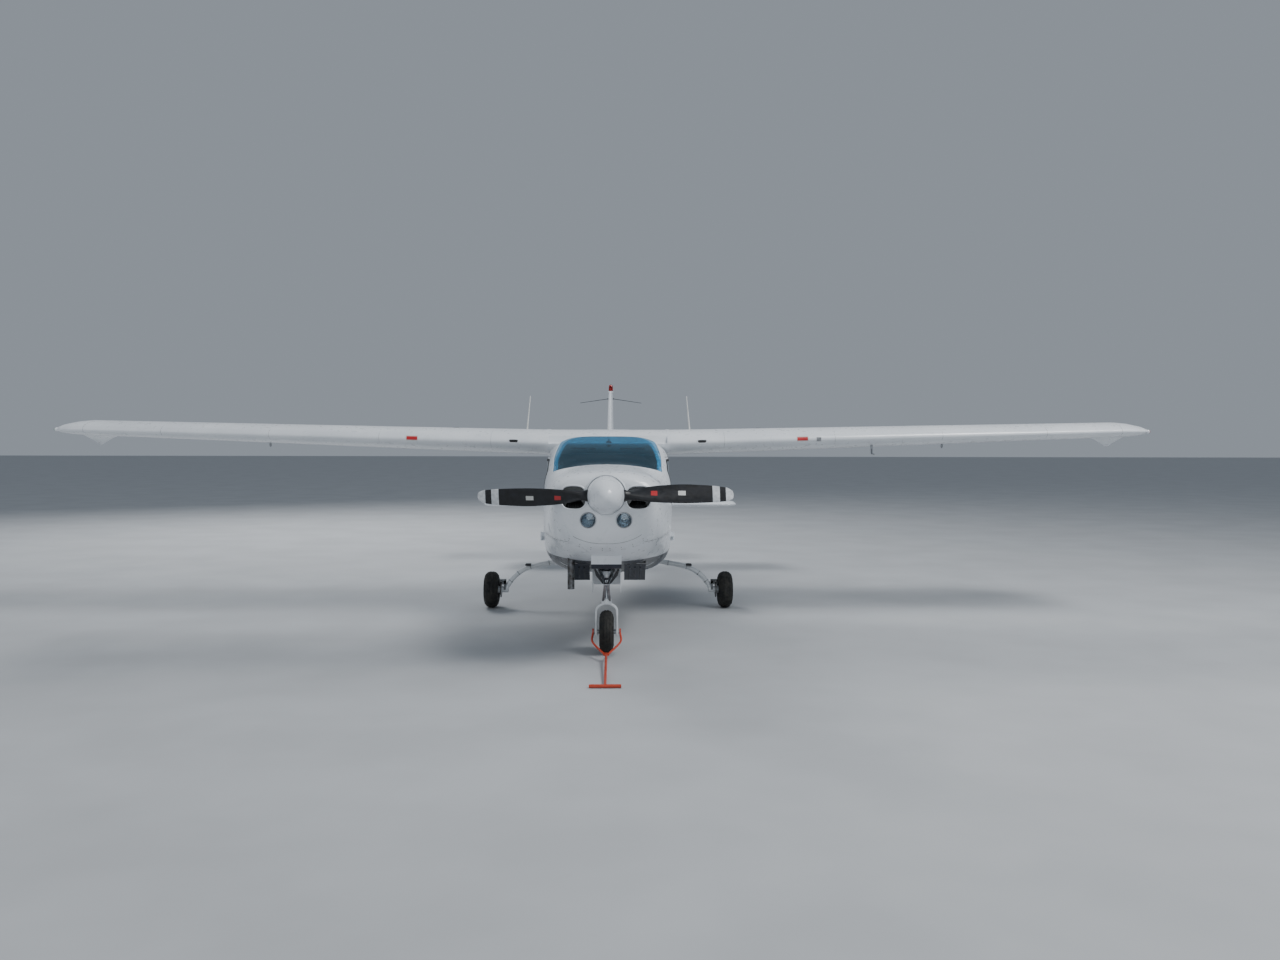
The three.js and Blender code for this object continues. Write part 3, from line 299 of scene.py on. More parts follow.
def two_tone_enamel(name):
    """White above and navy below one long line, under the same clear gloss."""
    material, tree, shader = blank_material(name, **ENAMEL)
    parts = add(tree, "SeparateXYZ", {"Vector": place_on(tree)})
    above = add(tree, "Math", {0: parts.outputs["Z"], 1: PAINT_LINE / 1000}, operation="SUBTRACT")
    share = add(tree, "MapRange", {"Value": above.outputs[0], "From Min": -0.0006, "From Max": 0.0006})
    cloud = varied(tree, (420, 4), 0, 0.7)
    white = mixed(tree, cloud, colour(SHADE_COOLED_WHITE), colour(SHADE_COOLED_WHITE_AGED))
    navy = mixed(tree, cloud, colour(NAVY), colour(NAVY_AGED))
    finish_with(tree, shader, mixed(tree, share.outputs["Result"], navy, white),
                varied(tree, (55, 6), 0.26, 0.4), bumped(tree, pattern(tree, 3), 0.04, 0.35))
    return material


def see_through(name, tint, rough, ior, reflection_tint="#ffffff"):
    """Clear or tinted sheet that lets the lamps light what is behind it. Its reflection_tint colours what it
    reflects: a blue one is a painted reflection of the sky."""
    material, tree, shader = blank_material(name, transmission_weight=1, ior=ior, specular_tint=colour(reflection_tint))
    finish_with(tree, shader, colour(tint), varied(tree, (35, 5), rough, rough + 0.05))
    lets_light = add(tree, "BsdfTransparent", {"Color": colour(tint)})
    path = add(tree, "LightPath")
    both = add(tree, "MixShader", {0: path.outputs["Is Shadow Ray"], 1: shader.outputs["BSDF"],
                                   2: lets_light.outputs["BSDF"]})
    tree.links.new(both.outputs["Shader"], tree.nodes["Material Output"].inputs["Surface"])
    return material


# The real cloth has a thread every 1.2 mm; it is drawn coarser so that it shows
THREAD = 3.0


def woven_upholstery(name, main, second):
    """Plain-woven wool cloth: two colours of thread crossing, matt with a soft edge of light."""
    material, tree, shader = blank_material(name, sheen_weight=0.35, sheen_roughness=0.5)
    where = place_on(tree)
    across, along = (add(tree, "TexWave", {"Vector": where, "Scale": per(THREAD) / 20, "Distortion": 0.6},
                         wave_type="BANDS", bands_direction=way).outputs["Fac"] for way in ("X", "DIAGONAL"))
    weave = add(tree, "Math", {0: across, 1: along}, operation="MULTIPLY")
    tone = mixed(tree, weave.outputs[0], colour(main), colour(second))
    worn = mixed(tree, varied(tree, (160, 4), 0, 0.35), tone, colour("#8e877b"))
    finish_with(tree, shader, worn, 0.93, bumped(tree, weave.outputs[0], 0.5, 0.7))
    return material


def loop_carpet():
    """Tufted nylon carpet: short dark loops that swallow light."""
    material, tree, shader = blank_material("loop_carpet", sheen_weight=0.2)
    loops = add(tree, "TexVoronoi", {"Vector": place_on(tree), "Scale": per(5)})
    tone = mixed(tree, loops.outputs["Distance"], colour("#4c5157"), colour("#2c3034"))
    finish_with(tree, shader, tone, 0.96, bumped(tree, loops.outputs["Distance"], 1.5, 0.8))
    return material


def grained_vinyl(name, main, second):
    """Vinyl pressed with a leather grain: low sheen, with painted shade darkening the creases."""
    material, tree, shader = blank_material(name, ior=1.5)
    grain = add(tree, "TexVoronoi", {"Vector": place_on(tree), "Scale": per(4)},
                feature="DISTANCE_TO_EDGE")
    # The darker creases are painted shade.
    crease_shade = ranged(tree, grain.outputs["Distance"], 1, 0, 0.0, 0.15)
    tone = mixed(tree, crease_shade, colour(main), colour(second))
    finish_with(tree, shader, tone, varied(tree, (30, 3), 0.5, 0.66),
                bumped(tree, grain.outputs["Distance"], 0.3, 0.5))
    return material


def banded_enamel():
    """Matt black enamel on a propeller blade with white bands near the tip, thin with wear in front."""
    material, tree, shader = blank_material("blade_enamel", ior=1.5)
    parts = add(tree, "SeparateXYZ", {"Vector": place_on(tree)})
    out = add(tree, "Math", {0: parts.outputs["X"]}, operation="ABSOLUTE").outputs[0]
    white = None
    for low, high in BLADE_BANDS:
        inside = add(tree, "Math", {0: out, 1: (low + high) / 2000, 2: (high - low) / 2000},
                     operation="COMPARE").outputs[0]
        white = inside if white is None else add(tree, "Math", {0: white, 1: inside},
                                                  operation="MAXIMUM").outputs[0]
    black = mixed(tree, varied(tree, (50, 5), 0, 1), colour("#0b0c0f"), colour("#1b1d22"))
    pale = mixed(tree, varied(tree, (30, 5), 0, 1), colour("#dcdfe2"), colour("#bfc3c6"))
    finish_with(tree, shader, mixed(tree, white, black, pale), varied(tree, (20, 5), 0.36, 0.52),
                bumped(tree, pattern(tree, 2), 0.04, 0.4))
    return material


# A faint cool cast in both whites is painted light: the blue of shade.
SHADE_COOLED_WHITE, SHADE_COOLED_WHITE_AGED = "#e7ebef", "#d8dde2"
NAVY, NAVY_AGED = "#0e1626", "#1a2434"
# Distances out from the shaft where a blade is white
BLADE_BANDS = [(828, 884), (931, 1000)]

white_enamel = sprayed_enamel("white_enamel_on_aluminium", SHADE_COOLED_WHITE, SHADE_COOLED_WHITE_AGED)
fuselage_enamel = two_tone_enamel("white_and_navy_enamel_on_aluminium")
navy_enamel = sprayed_enamel("navy_enamel_on_aluminium", NAVY, NAVY_AGED)
gear_enamel = sprayed_enamel("white_enamel_on_steel", "#dfe3e6", "#c3c7c9", 0.3)
# The nose strut is navy as painted shade: the dark of the nose bay laid on it.
strut_navy_as_painted_shade = sprayed_enamel("navy_on_strut_as_painted_shade", NAVY, NAVY_AGED)
red_enamel = sprayed_enamel("orange_red_enamel_on_steel", "#c8401f", "#a83518", 0.34)
placard_red = sprayed_enamel("red_printed_foil", "#c2262b", "#a82326", 0.3)
black_enamel = sprayed_enamel("black_crackle_enamel", "#15171a", "#24272b", 0.5)
blade_enamel = banded_enamel()
# Sand-cast aluminium: dull, with a fine pebble and oil-stained patches
cast_metal = worn("cast_aluminium", ("#8d9093", "#5b5d5e"), ((60, 5), 1), ((8, 4), 0.42, 0.62),
                  ((1.6,), 0.25, 0.6), metallic=0.85)
bright_steel = machined_steel("machined_steel")
# Steel stained by heat, darkened further as painted shade.
heat_and_shade_darkened_steel = machined_steel("heat_stained_steel_darkened_by_painted_shade", "#544f4a", 0.45)
# Hard chrome on a ground piston: a near mirror with a film of oil
chrome = worn("chromed_steel", ("#d7dade", "#b3b8bd"), ((30, 3), 0.5), ((12, 3), 0.06, 0.16), metallic=1)
# Zinc-coated sheet: flat grey with rolling marks along its length
ROLLING = (4, 3, (0.05, 1, 1))
zinc_sheet = worn("rolled_sheet", ("#a4a7a8", "#84888a"), (ROLLING, 1), (ROLLING, 0.34, 0.5),
                  (ROLLING, 0.05, 0.3), metallic=0.8)
# Both acrylics reflect in blue: a painted reflection of the sky.
tinted_acrylic = see_through("tinted_acrylic", "#9dcbd5", 0.02, 1.7, "#9fd4e4")
screen_acrylic = see_through("blue_tinted_acrylic", "#6cb3cc", 0.02, 1.9, "#58b4d8")
clear_glass = see_through("clear_glass", "#f4fafb", 0.01, 1.5)
# The lens's grey tint darkens the lamp inside as painted shade.
shade_tinted_lamp_glass = see_through("lamp_glass_greyed_as_painted_shade", "#b4c2ca", 0.01, 1.5)
red_glass = see_through("red_glass", "#d01812", 0.03, 1.5)
green_glass = see_through("green_glass", "#12a860", 0.03, 1.5)
# Moulded tyre rubber, greyed by dust, and the black rubber of the seals round glass
rubber = worn("tyre_rubber", ("#191a1b", "#34332f"), ((45, 6), 1), ((20, 4), 0.72, 0.9), ((1.2,), 0.15, 0.5),
              ior=1.5)
seal_rubber = worn("black_rubber", ("#111213", "#242425"), ((25, 3), 1), ((25, 3), 0.62, 0.62),
                   ((1,), 0.05, 0.4), ior=1.5)
seat_cloth = woven_upholstery("woven_wool_cloth", "#7b7468", "#57524a")
piping_vinyl = grained_vinyl("grey_vinyl", "#6d6b66", "#45433f")
trim_vinyl = grained_vinyl("beige_vinyl", "#a39c90", "#7a7469")
dark_vinyl = grained_vinyl("black_vinyl", "#1d1e20", "#0e0f10")
carpet = loop_carpet()
grey_plastic = moulded_plastic("grey_moulded_plastic", "#56595c", "#484b4e")
black_plastic = moulded_plastic("black_moulded_plastic", "#131416", "#1f2022", 0.35)
pale_plastic = moulded_plastic("pale_moulded_plastic", "#d5d6d3", "#c3c4c0")
dial_white = moulded_plastic("white_dial_print", "#e8e8e4", "#dcdcd6", 0.6)

# The record's slot for each material
SLOTS = {material: slot for slot, materials in {
    "white_paint": (white_enamel, fuselage_enamel),
    "navy_paint": (navy_enamel,),
    "gear_steel": (gear_enamel, strut_navy_as_painted_shade),
    "tow_red": (red_enamel, placard_red),
    "black_paint": (black_enamel,),
    "blade_metal": (blade_enamel,),
    "engine_metal": (cast_metal,),
    "bright_steel": (bright_steel, heat_and_shade_darkened_steel, chrome, zinc_sheet),
    "tinted_glass": (tinted_acrylic, screen_acrylic),
    "lamp_glass": (clear_glass, shade_tinted_lamp_glass, red_glass, green_glass),
    "tyre_rubber": (rubber, seal_rubber),
    "seat_fabric": (seat_cloth, piping_vinyl, carpet),
    "trim_plastic": (trim_vinyl, dark_vinyl, grey_plastic, black_plastic, pale_plastic, dial_white),
}.items() for material in materials}


# Solids. Each is an object of its own until show() names it as a piece
def placed(points):
    """Points in millimetres, as (across, station, height), in the frame's metres."""
    metres = np.array(points, float).reshape(-1, 3) / 1000
    metres[:, 1] += tip_y
    return metres


def measured(place):
    """A place in the frame as (across, station, height) in millimetres."""
    return (np.array(place) - (0, tip_y, 0)) * 1000


def read(items, what, kind=float):
    """Three values for each vertex or triangle of a mesh."""
    values = np.zeros(len(items) * 3, kind)
    items.foreach_get(what, values)
    return values.reshape(-1, 3)


def solid(points, faces):
    mesh = bpy.data.meshes.new("solid")
    mesh.from_pydata(placed(points).tolist(), [], [list(face) for face in faces])
    return outward(linked(bpy.data.objects.new("solid", mesh)))


def outward(piece):
    """Turns the faces of a closed mesh out by the sign of its volume."""
    mesh = piece.data
    mesh.calc_loop_triangles()
    triangles = read(mesh.loop_triangles, "vertices", int)
    a, b, c = read(mesh.vertices, "co")[triangles].transpose(1, 0, 2)
    if np.einsum("ij,ij->i", a, np.cross(b, c)).sum() < 0:
        mesh.flip_normals()
    return piece


def loft(rings, joined_ends=False):
    """A skin through rings of points; its ends are capped, or the last ring joins the first."""
    rings = np.asarray(rings, float)
    rows, count = rings.shape[:2]
    around = np.arange(count)
    beside = (around + 1) % count
    faces = []
    for row in range(rows if joined_ends else rows - 1):
        a, b = row * count, (row + 1) % rows * count
        faces += np.stack([a + around, a + beside, b + beside, b + around], 1).tolist()
    if not joined_ends:
        faces += [around[::-1].tolist(), ((rows - 1) * count + around).tolist()]
    return solid(rings, faces)


def applied(piece):
    """The piece with its modifiers made part of its mesh."""
    graph = bpy.context.evaluated_depsgraph_get()
    mesh = bpy.data.meshes.new_from_object(piece.evaluated_get(graph))
    piece.modifiers.clear()
    piece.data = mesh
    return piece


def duplicate(piece):
    made = linked(piece.copy())
    made.data = piece.data.copy()
    return made


def mirror_of(piece):
    """A copy on the other side of the aircraft."""
    made = duplicate(piece)
    made.data.transform(Matrix.Diagonal((-1, 1, 1, 1)))
    made.data.flip_normals()
    return made


def tree_of(piece):
    """The faces of a solid, for finding places on them."""
    return BVHTree.FromPolygons([vertex.co[:] for vertex in piece.data.vertices],
                                [face.vertices[:] for face in piece.data.polygons])


def combined(base, other, how):
    """base with other added or taken away, or what both share. other is used up."""
    change = base.modifiers.new("combine", "BOOLEAN")
    change.operation, change.object, change.solver = how, other, "MANIFOLD"
    applied(base)
    bpy.data.objects.remove(other)
    return base


def without(base, *cutters):
    for cutter in cutters:
        combined(base, cutter, "DIFFERENCE")
    return base


def within(base, region):
    return combined(base, region, "INTERSECT")


def joined(*parts):
    """Several solids as one object; they may touch or stay apart."""
    first = parts[0]
    points, faces = [], []
    for part in parts:
        start = len(points)
        points += [vertex.co[:] for vertex in part.data.vertices]
        faces += [[start + i for i in face.vertices] for face in part.data.polygons]
    mesh = bpy.data.meshes.new("joined")
    mesh.from_pydata(points, [], faces)
    first.data = mesh
    for part in parts[1:]:
        bpy.data.objects.remove(part)
    return first


AXES = {"across": 0, "station": 1, "height": 2}


def prism(outline, low, high, along="across"):
    """An outline in the two other directions, in their order, drawn out from low to high."""
    fixed = AXES[along]
    rings = np.zeros((2, len(outline), 3))
    for row, value in enumerate((low, high)):
        rings[row] = np.insert(np.array(outline, float), fixed, value, axis=1)
    return loft(rings)


def block(low, high):
    return prism(rectangle(low[1], low[2], high[1], high[2]), low[0], high[0])


def slab(outline, radius, low, high, along="across"):
    """A prism whose outline has round corners."""
    return prism(rounded(outline, radius), low, high, along)


def area(outline):
    points = np.array(outline, float)
    after = np.roll(points, -1, 0)
    return (points[:, 0] * after[:, 1] - after[:, 0] * points[:, 1]).sum() / 2


def inset(outline, gap):
    """The outline moved inwards by gap."""
    points = np.array(outline, float)
    before, after = (points - np.roll(points, shift, 0) for shift in (1, -1))
    unit_in = before / np.linalg.norm(before, axis=1)[:, None]
    unit_out = -after / np.linalg.norm(after, axis=1)[:, None]
    normals = [np.stack([-unit[:, 1], unit[:, 0]], 1) for unit in (unit_in, unit_out)]
    scale = math.copysign(gap, area(outline) * gap) / (1 + (normals[0] * normals[1]).sum(1))
    return points + (normals[0] + normals[1]) * scale[:, None]


CORNER_STEPS = 6


def rounded(outline, radius):
    """The outline with round corners; radius is one size or one for each corner."""
    points = np.array(outline, float)
    radii = radius if isinstance(radius, (list, tuple)) else [radius] * len(points)
    made = []
    for i, corner in enumerate(points):
        to_before = points[i - 1] - corner
        to_after = points[(i + 1) % len(points)] - corner
        reach = min(np.linalg.norm(to_before), np.linalg.norm(to_after)) * 0.45
        to_before, to_after = (side / np.linalg.norm(side) for side in (to_before, to_after))
        half = math.acos(np.clip(to_before @ to_after, -1, 1)) / 2
        size = min(radii[i] / math.tan(half), reach)
        if size < 0.5:
            made.append(corner)
            continue
        for share in np.linspace(0, 1, CORNER_STEPS):
            start, end = corner + to_before * size, corner + to_after * size
            made.append((1 - share) ** 2 * start + 2 * share * (1 - share) * corner + share ** 2 * end)
    return np.array(made)


def circle(radius, count, centre=(0, 0), shift=0.0):
    turns = (np.arange(count) + shift) / count * 2 * math.pi
    return np.stack([centre[0] + radius * np.cos(turns), centre[1] + radius * np.sin(turns)], 1)


def spread(count, shift=0.0, about="station"):
    """Unit vectors spread evenly round an axis."""
    return np.insert(circle(1, count, (0, 0), shift), AXES[about], 0, axis=1)


def basis(direction):
    """Two unit vectors square to a direction, then the direction."""
    forward = np.array(direction, float) / np.linalg.norm(direction)
    guide = np.array([0, 0, 1.0]) if abs(forward[2]) < 0.9 else np.array([1.0, 0, 0])
    first = np.cross(guide, forward)
    first /= np.linalg.norm(first)
    return first, np.cross(forward, first), forward


def fan(first, second, sides):
    """Unit vectors in the plane of two others, evenly all round."""
    turns = np.arange(sides) / sides * 2 * math.pi
    return np.outer(np.cos(turns), first) + np.outer(np.sin(turns), second)


def turned(profile, centre, axis, sides=48, joined_ends=False):
    """A profile of (radius, along) turned about a line; a radius of 0 closes an end."""
    first, second, forward = basis(axis)
    around = fan(first, second, sides)
    rings = [np.array(centre) + max(radius, 0.01) * around + along * forward for radius, along in profile]
    return loft(rings, joined_ends)


def upright(profile, station, joined_ends=False):
    """A profile of (radius, height) turned about a vertical line in the middle."""
    return turned(profile, (0, station, 0), UP, joined_ends=joined_ends)


def rod(start, end, radius, end_radius=None, sides=16, edge=0.0):
    """A round bar; edge rounds its two ends a little."""
    start, end = np.array(start, float), np.array(end, float)
    length = np.linalg.norm(end - start)
    last = radius if end_radius is None else end_radius
    profile = [(radius - edge, 0), (radius, edge), (last, length - edge), (last - edge, length)]
    if not edge:
        profile = [(radius, 0), (last, length)]
    return turned(profile, start, end - start, sides)


def along_rod(across, height, start, end, radius, sides):
    """A round bar that runs aft, level."""
    return rod((across, start, height), (across, end, height), radius, sides=sides)


def cross_rod(reach, station, height, radius, sides, edge=0.0):
    """A round bar from side to side, as far out on both."""
    return rod((-reach, station, height), (reach, station, height), radius, sides=sides, edge=edge)


def smooth_line(points, steps):
    """A smooth curve through points, with steps to each span."""
    points = np.array(points, float)
    padded = np.vstack([2 * points[0] - points[1], points, 2 * points[-1] - points[-2]])
    made = []
    for i in range(len(points) - 1):
        p0, p1, p2, p3 = padded[i:i + 4]
        for t in np.linspace(0, 1, steps, endpoint=False):
            made.append(0.5 * (2 * p1 + (p2 - p0) * t + (2 * p0 - 5 * p1 + 4 * p2 - p3) * t ** 2
                               + (3 * p1 - p0 - 3 * p2 + p3) * t ** 3))
    return np.array([*made, points[-1]])


def swept(path, section, up=None, closed=False):
    """A section of (beside, above) carried along a path. up, one vector or one for each point,
    says which way is above; without it the section turns as little as it can."""
    path = np.array(path, float)
    if closed:
        ahead = np.roll(path, -1, 0) - np.roll(path, 1, 0)
    else:
        ahead = np.gradient(path, axis=0)
    ahead /= np.linalg.norm(ahead, axis=1)[:, None]
    if up is None:
        beside = basis(ahead[0])[0]
        rights = []
        for forward in ahead:
            beside = beside - forward * (beside @ forward)
            beside /= np.linalg.norm(beside)
            rights.append(beside)
        rights = np.array(rights)
    else:
        rights = np.cross(ahead, np.broadcast_to(up, path.shape))
        rights /= np.linalg.norm(rights, axis=1)[:, None]
    above = np.cross(rights, ahead)
    section = np.array(section, float)
    rings = path[:, None] + section[None, :, :1] * rights[:, None] + section[None, :, 1:] * above[:, None]
    return loft(rings, closed)


def tube(path, radius, sides=12, closed=False):
    return swept(path, circle(radius, sides), closed=closed)


# Surface smoothness and how a piece is shown
SHARP_ANGLE = math.radians(32)


def show(piece, name, material, body="airframe", replaces=()):
    """Names a solid as a piece, paints it and puts it on its body."""
    piece.name = piece.data.name = name
    piece.data.materials.clear()
    piece.data.materials.append(material)
    piece.data.polygons.foreach_set("use_smooth", [True] * len(piece.data.polygons))
    piece.data.set_sharp_from_angle(angle=SHARP_ANGLE)
    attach(piece, body)
    if replaces:
        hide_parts(*replaces)
    return piece


def show_pair(piece, name, material, body="airframe", replaces=()):
    """The left piece and its mirror image. A body or node that has sides is named without them."""
    other = mirror_of(piece)
    for side, solid_piece in (("left", piece), ("right", other)):
        sided = body if body in frame["bodies"] else f"{body}_{side}"
        nodes = [node if node in frame["nodes"] else f"{node}_{side}" for node in replaces]
        show(solid_piece, f"{name}_{side}", material, sided, nodes)


# Fuselage form
def section_at(station):
    """Half width, widest height, top, bottom and the two roundness powers at a station."""
    stations = FUSELAGE[:, 0]
    k = int(np.clip(np.searchsorted(stations, station, side="right") - 1, 0, len(stations) - 2))
    slopes = np.diff(FUSELAGE, axis=0) / np.diff(stations)[:, None]

    def tangent(i):
        if i in (0, len(stations) - 1):
            return slopes[0 if i == 0 else -1]
        before, after = slopes[i - 1], slopes[i]
        total = np.where(before * after > 0, before + after, 1)
        return np.where(before * after > 0, 2 * before * after / total, 0)

    width = stations[k + 1] - stations[k]
    t = (station - stations[k]) / width
    return ((2 * t ** 3 - 3 * t ** 2 + 1) * FUSELAGE[k] + (t ** 3 - 2 * t ** 2 + t) * width * tangent(k)
            + (3 * t ** 2 - 2 * t ** 3) * FUSELAGE[k + 1] + (t ** 3 - t ** 2) * width * tangent(k + 1))[1:]


RING_POINTS = 96


def fuselage_ring(station, depth, count=RING_POINTS):
    half_width, widest, top, bottom, upper, lower = section_at(station)
    turns = np.arange(count) / count * 2 * math.pi - math.pi / 2
    c, s = np.cos(turns), np.sin(turns)
    power = np.where(s > 0, upper, lower)
    reach = (np.abs(c) ** power + np.abs(s) ** power) ** (-1 / power)
    rise = np.where(s > 0, top - depth - widest, widest - bottom - depth)
    return np.stack([(half_width - depth) * reach * c, np.full(count, station), widest + rise * reach * s], 1)


def rings_between(start, end, depth, step, shift=0.0):
    """Fuselage rings from start to end, close together at the front where the form turns fast."""
    places = [start]
    while places[-1] < end - 1:
        here = places[-1]
        places.append(min(here + (max(4, (here - COWL_FRONT) * 0.12) if here < 560 else step), end))
    rings = [fuselage_ring(station, depth) for station in places]
    return [ring + (0, shift, 0) for ring in rings]


def hull(start, end, depth=0.0, step=40):
    return loft(rings_between(start, end, depth, step))


def hull_shell(start, end, wall, step, depth=0.0):
    """The skin from depth to depth + wall, open at both ends."""
    outer = rings_between(start, end, depth, step)
    inner = rings_between(start, end, depth + wall, step)
    return loft(outer + inner[::-1], joined_ends=True)


def side_at(station, height, depth=0.0):
    """A point on the left side of the fuselage."""
    half_width, widest, top, bottom, upper, lower = section_at(station)
    power, rise = (upper, top - depth - widest) if height > widest else (lower, widest - bottom - depth)
    share = min(abs(height - widest) / rise, 0.9999)
    return np.array([(half_width - depth) * (1 - share ** power) ** (1 / power), station, height])


def edge_at(station, across, depth=0.0):
    """A point on the lower side of the fuselage."""
    half_width, widest, _, bottom, _, lower = section_at(station)
    share = min(abs(across) / (half_width - depth), 0.9999)
    drop = (bottom + depth - widest) * (1 - share ** lower) ** (1 / lower)
    return np.array([across, station, widest + drop])


# Wing form
def wing_at(across):
    t = (across - WING_ROOT["across"]) / (WING_TIP["across"] - WING_ROOT["across"])
    return {key: WING_ROOT[key] + t * (WING_TIP[key] - WING_ROOT[key]) for key in WING_ROOT}


def half_thickness(u, ratio):
    return 5 * ratio * (0.2969 * np.sqrt(u) - 0.126 * u - 0.3516 * u ** 2 + 0.2843 * u ** 3 - 0.1036 * u ** 4)


def camber_at(u, camber):
    ahead = camber / CAMBER_PLACE ** 2 * (2 * CAMBER_PLACE * u - u ** 2)
    behind = camber / (1 - CAMBER_PLACE) ** 2 * (1 - 2 * CAMBER_PLACE + 2 * CAMBER_PLACE * u - u ** 2)
    return np.where(u < CAMBER_PLACE, ahead, behind)


def foil(ratio, camber, edge, count=72):
    """Chord shares and heights round an aerofoil: over the top to the nose and back beneath."""
    turns = np.arange(count) / count * 2 * math.pi
    u = (1 + np.cos(turns)) / 2
    side = np.where(np.arange(count) < count / 2, 1, -1)
    thick = half_thickness(u, ratio) + edge * u
    thick[[0, count // 2]] = 0
    return u, camber_at(u, camber) + side * thick


def wing_point(section, u, v):
    tilt = math.radians(section["incidence"])
    u, v = np.broadcast_arrays(np.asarray(u, float), v)
    return np.stack([np.full(u.shape, section["across"]),
                     section["leading"] + section["chord"] * (u * math.cos(tilt) + v * math.sin(tilt)),
                     section["height"] + section["chord"] * (v * math.cos(tilt) - u * math.sin(tilt))], -1)


WING_EDGE = 0.0015


def wing_ring(section):
    return wing_point(section, *foil(section["thickness"], CAMBER, WING_EDGE))


def wing_skin(across, u, upper=True):
    """A point on the wing's upper or lower skin."""
    section = wing_at(across)
    side = 1 if upper else -1
    rise = side * half_thickness(u, section["thickness"])
    return wing_point(section, u, camber_at(np.float64(u), CAMBER) + rise)


def wing_body(start, end):
    return loft([wing_ring(wing_at(across)) for across in (start, end)])


SURFACE_REACH = 700
NOSE_STEPS = 22


def hinge_ring(centre, radius, reach, spread=0.5, upright=False):
    """The round nose of a hinged surface about its hinge line, opened out behind it."""
    across, station, height = centre
    turns = np.linspace(math.pi / 2, math.pi * 1.5, NOSE_STEPS)
    arc = np.stack([station + radius * np.cos(turns), radius * np.sin(turns)], 1)
    outline = np.vstack([[(station + reach, 0), (station + reach, reach * spread)], arc,
                         [(station + reach, -reach * spread)]])
    if upright:
        return np.insert(outline[:, ::-1], 2, height, axis=1)
    return np.stack([np.full(len(outline), across), outline[:, 0], height + outline[:, 1]], 1)


SURFACE_END_GAP, PIN_END_GAP, MOVING_GAP = 12, 0.7, 6


def wing_hinge(across, share):
    section = wing_at(across)
    centre = wing_point(section, share, camber_at(np.float64(share), CAMBER))
    return centre, section["chord"] * half_thickness(share, section["thickness"])


def wing_surface(span, share):
    """The cove in the wing, the hinge pins and the flap or aileron that turns on them."""
    (start, start_radius), (end, end_radius) = (wing_hinge(across, share) for across in span)
    length = span[1] - span[0]

    def along(t):
        return start + t * (end - start)

    cove = loft([hinge_ring(start, start_radius + MOVING_GAP + 2, SURFACE_REACH),
                 hinge_ring(end, end_radius + MOVING_GAP + 2, SURFACE_REACH)])
    trim, pin = SURFACE_END_GAP / length, (SURFACE_END_GAP - PIN_END_GAP) / length
    nose = loft([hinge_ring(along(trim), start_radius, SURFACE_REACH),
                 hinge_ring(along(1 - trim), end_radius, SURFACE_REACH)])
    pins = [rod(along(-0.004), along(pin), 6), rod(along(1 - pin), along(1.004), 6)]
    return cove, pins, within(wing_body(span[0] - 1, span[1] + 1), nose)


# Drooped wing tip: step outward, setback, chord share, thickness share, droop of the trailing edge
TIP_SECTIONS = np.array([
    [0, 0, 1, 1, 0],
    [110, 10, 0.985, 0.93, 22],
    [210, 45, 0.94, 0.74, 70],
    [270, 100, 0.88, 0.5, 110],
    [302, 175, 0.8, 0.24, 138],
    [310, 240, 0.72, 0.06, 148],
])
DROOP_POWER = 1.6
TIP_ROWS = 26


def tip_ring(outward_step, setback, chord_share, thickness_share, droop):
    section = dict(WING_TIP, across=WING_TIP["across"] + outward_step, leading=WING_TIP["leading"] + setback,
                   chord=WING_TIP["chord"] * chord_share)
    u, v = foil(WING_TIP["thickness"] * thickness_share, CAMBER, WING_EDGE)
    points = wing_point(section, u, v)
    points[:, 2] -= droop * u ** DROOP_POWER
    return points


def sampled(table, places):
    """The table's columns at those values of its first one."""
    return [np.interp(places, table[:, 0], column) for column in table.T]


def wing_tip_body():
    steps = TIP_SECTIONS[-1, 0] * np.sin(np.linspace(0, math.pi / 2, TIP_ROWS))
    return loft([tip_ring(*row) for row in zip(*sampled(TIP_SECTIONS, steps))])


WHIP_ACROSS, WHIP_CHORD_SHARE, WHIP_LENGTH, WHIP_LEAN = 840, 0.46, 372, 60
TIE_DOWN = (3400, 2920, 1739)


def make_wings():
    """Each wing with its coves, drooped tip, tie-down ring and whip aerial; flaps and ailerons."""
    flap_cove, flap_pins, flap = wing_surface(FLAP_SPAN, FLAP_HINGE)
    aileron_cove, aileron_pins, aileron = wing_surface(AILERON_SPAN, AILERON_HINGE)
    panel = without(wing_body(WING_ROOT["across"] + HIDDEN_GAP, WING_TIP["across"]), flap_cove, aileron_cove,
                    hull(2200, 4200, -HIDDEN_GAP))
    panel = combined(panel, wing_tip_body(), "UNION")
    show_pair(joined(panel, *flap_pins, *aileron_pins), "wing_skin", white_enamel, replaces=["wing"])
    show_pair(flap, "flap_skin", white_enamel, "flap", ["flap"])
    show_pair(aileron, "aileron_skin", white_enamel, "aileron", ["aileron"])
    show_pair(turned(circle(5, 12, (20, 0)), TIE_DOWN, ACROSS, 32, True), "tie_down_ring", bright_steel)
    foot = wing_skin(WHIP_ACROSS, WHIP_CHORD_SHARE)
    base = turned([(0, -4), (17, -4), (16, 3), (11, 14), (7, 18), (0, 19)], foot, UP, 28)
    whip = rod(foot + (0, 0, 12), foot + (-WHIP_LEAN / 2, WHIP_LEAN, WHIP_LENGTH), 8.5, 4, edge=1)
    show_pair(joined(base, whip), "whip_aerial", pale_plastic)


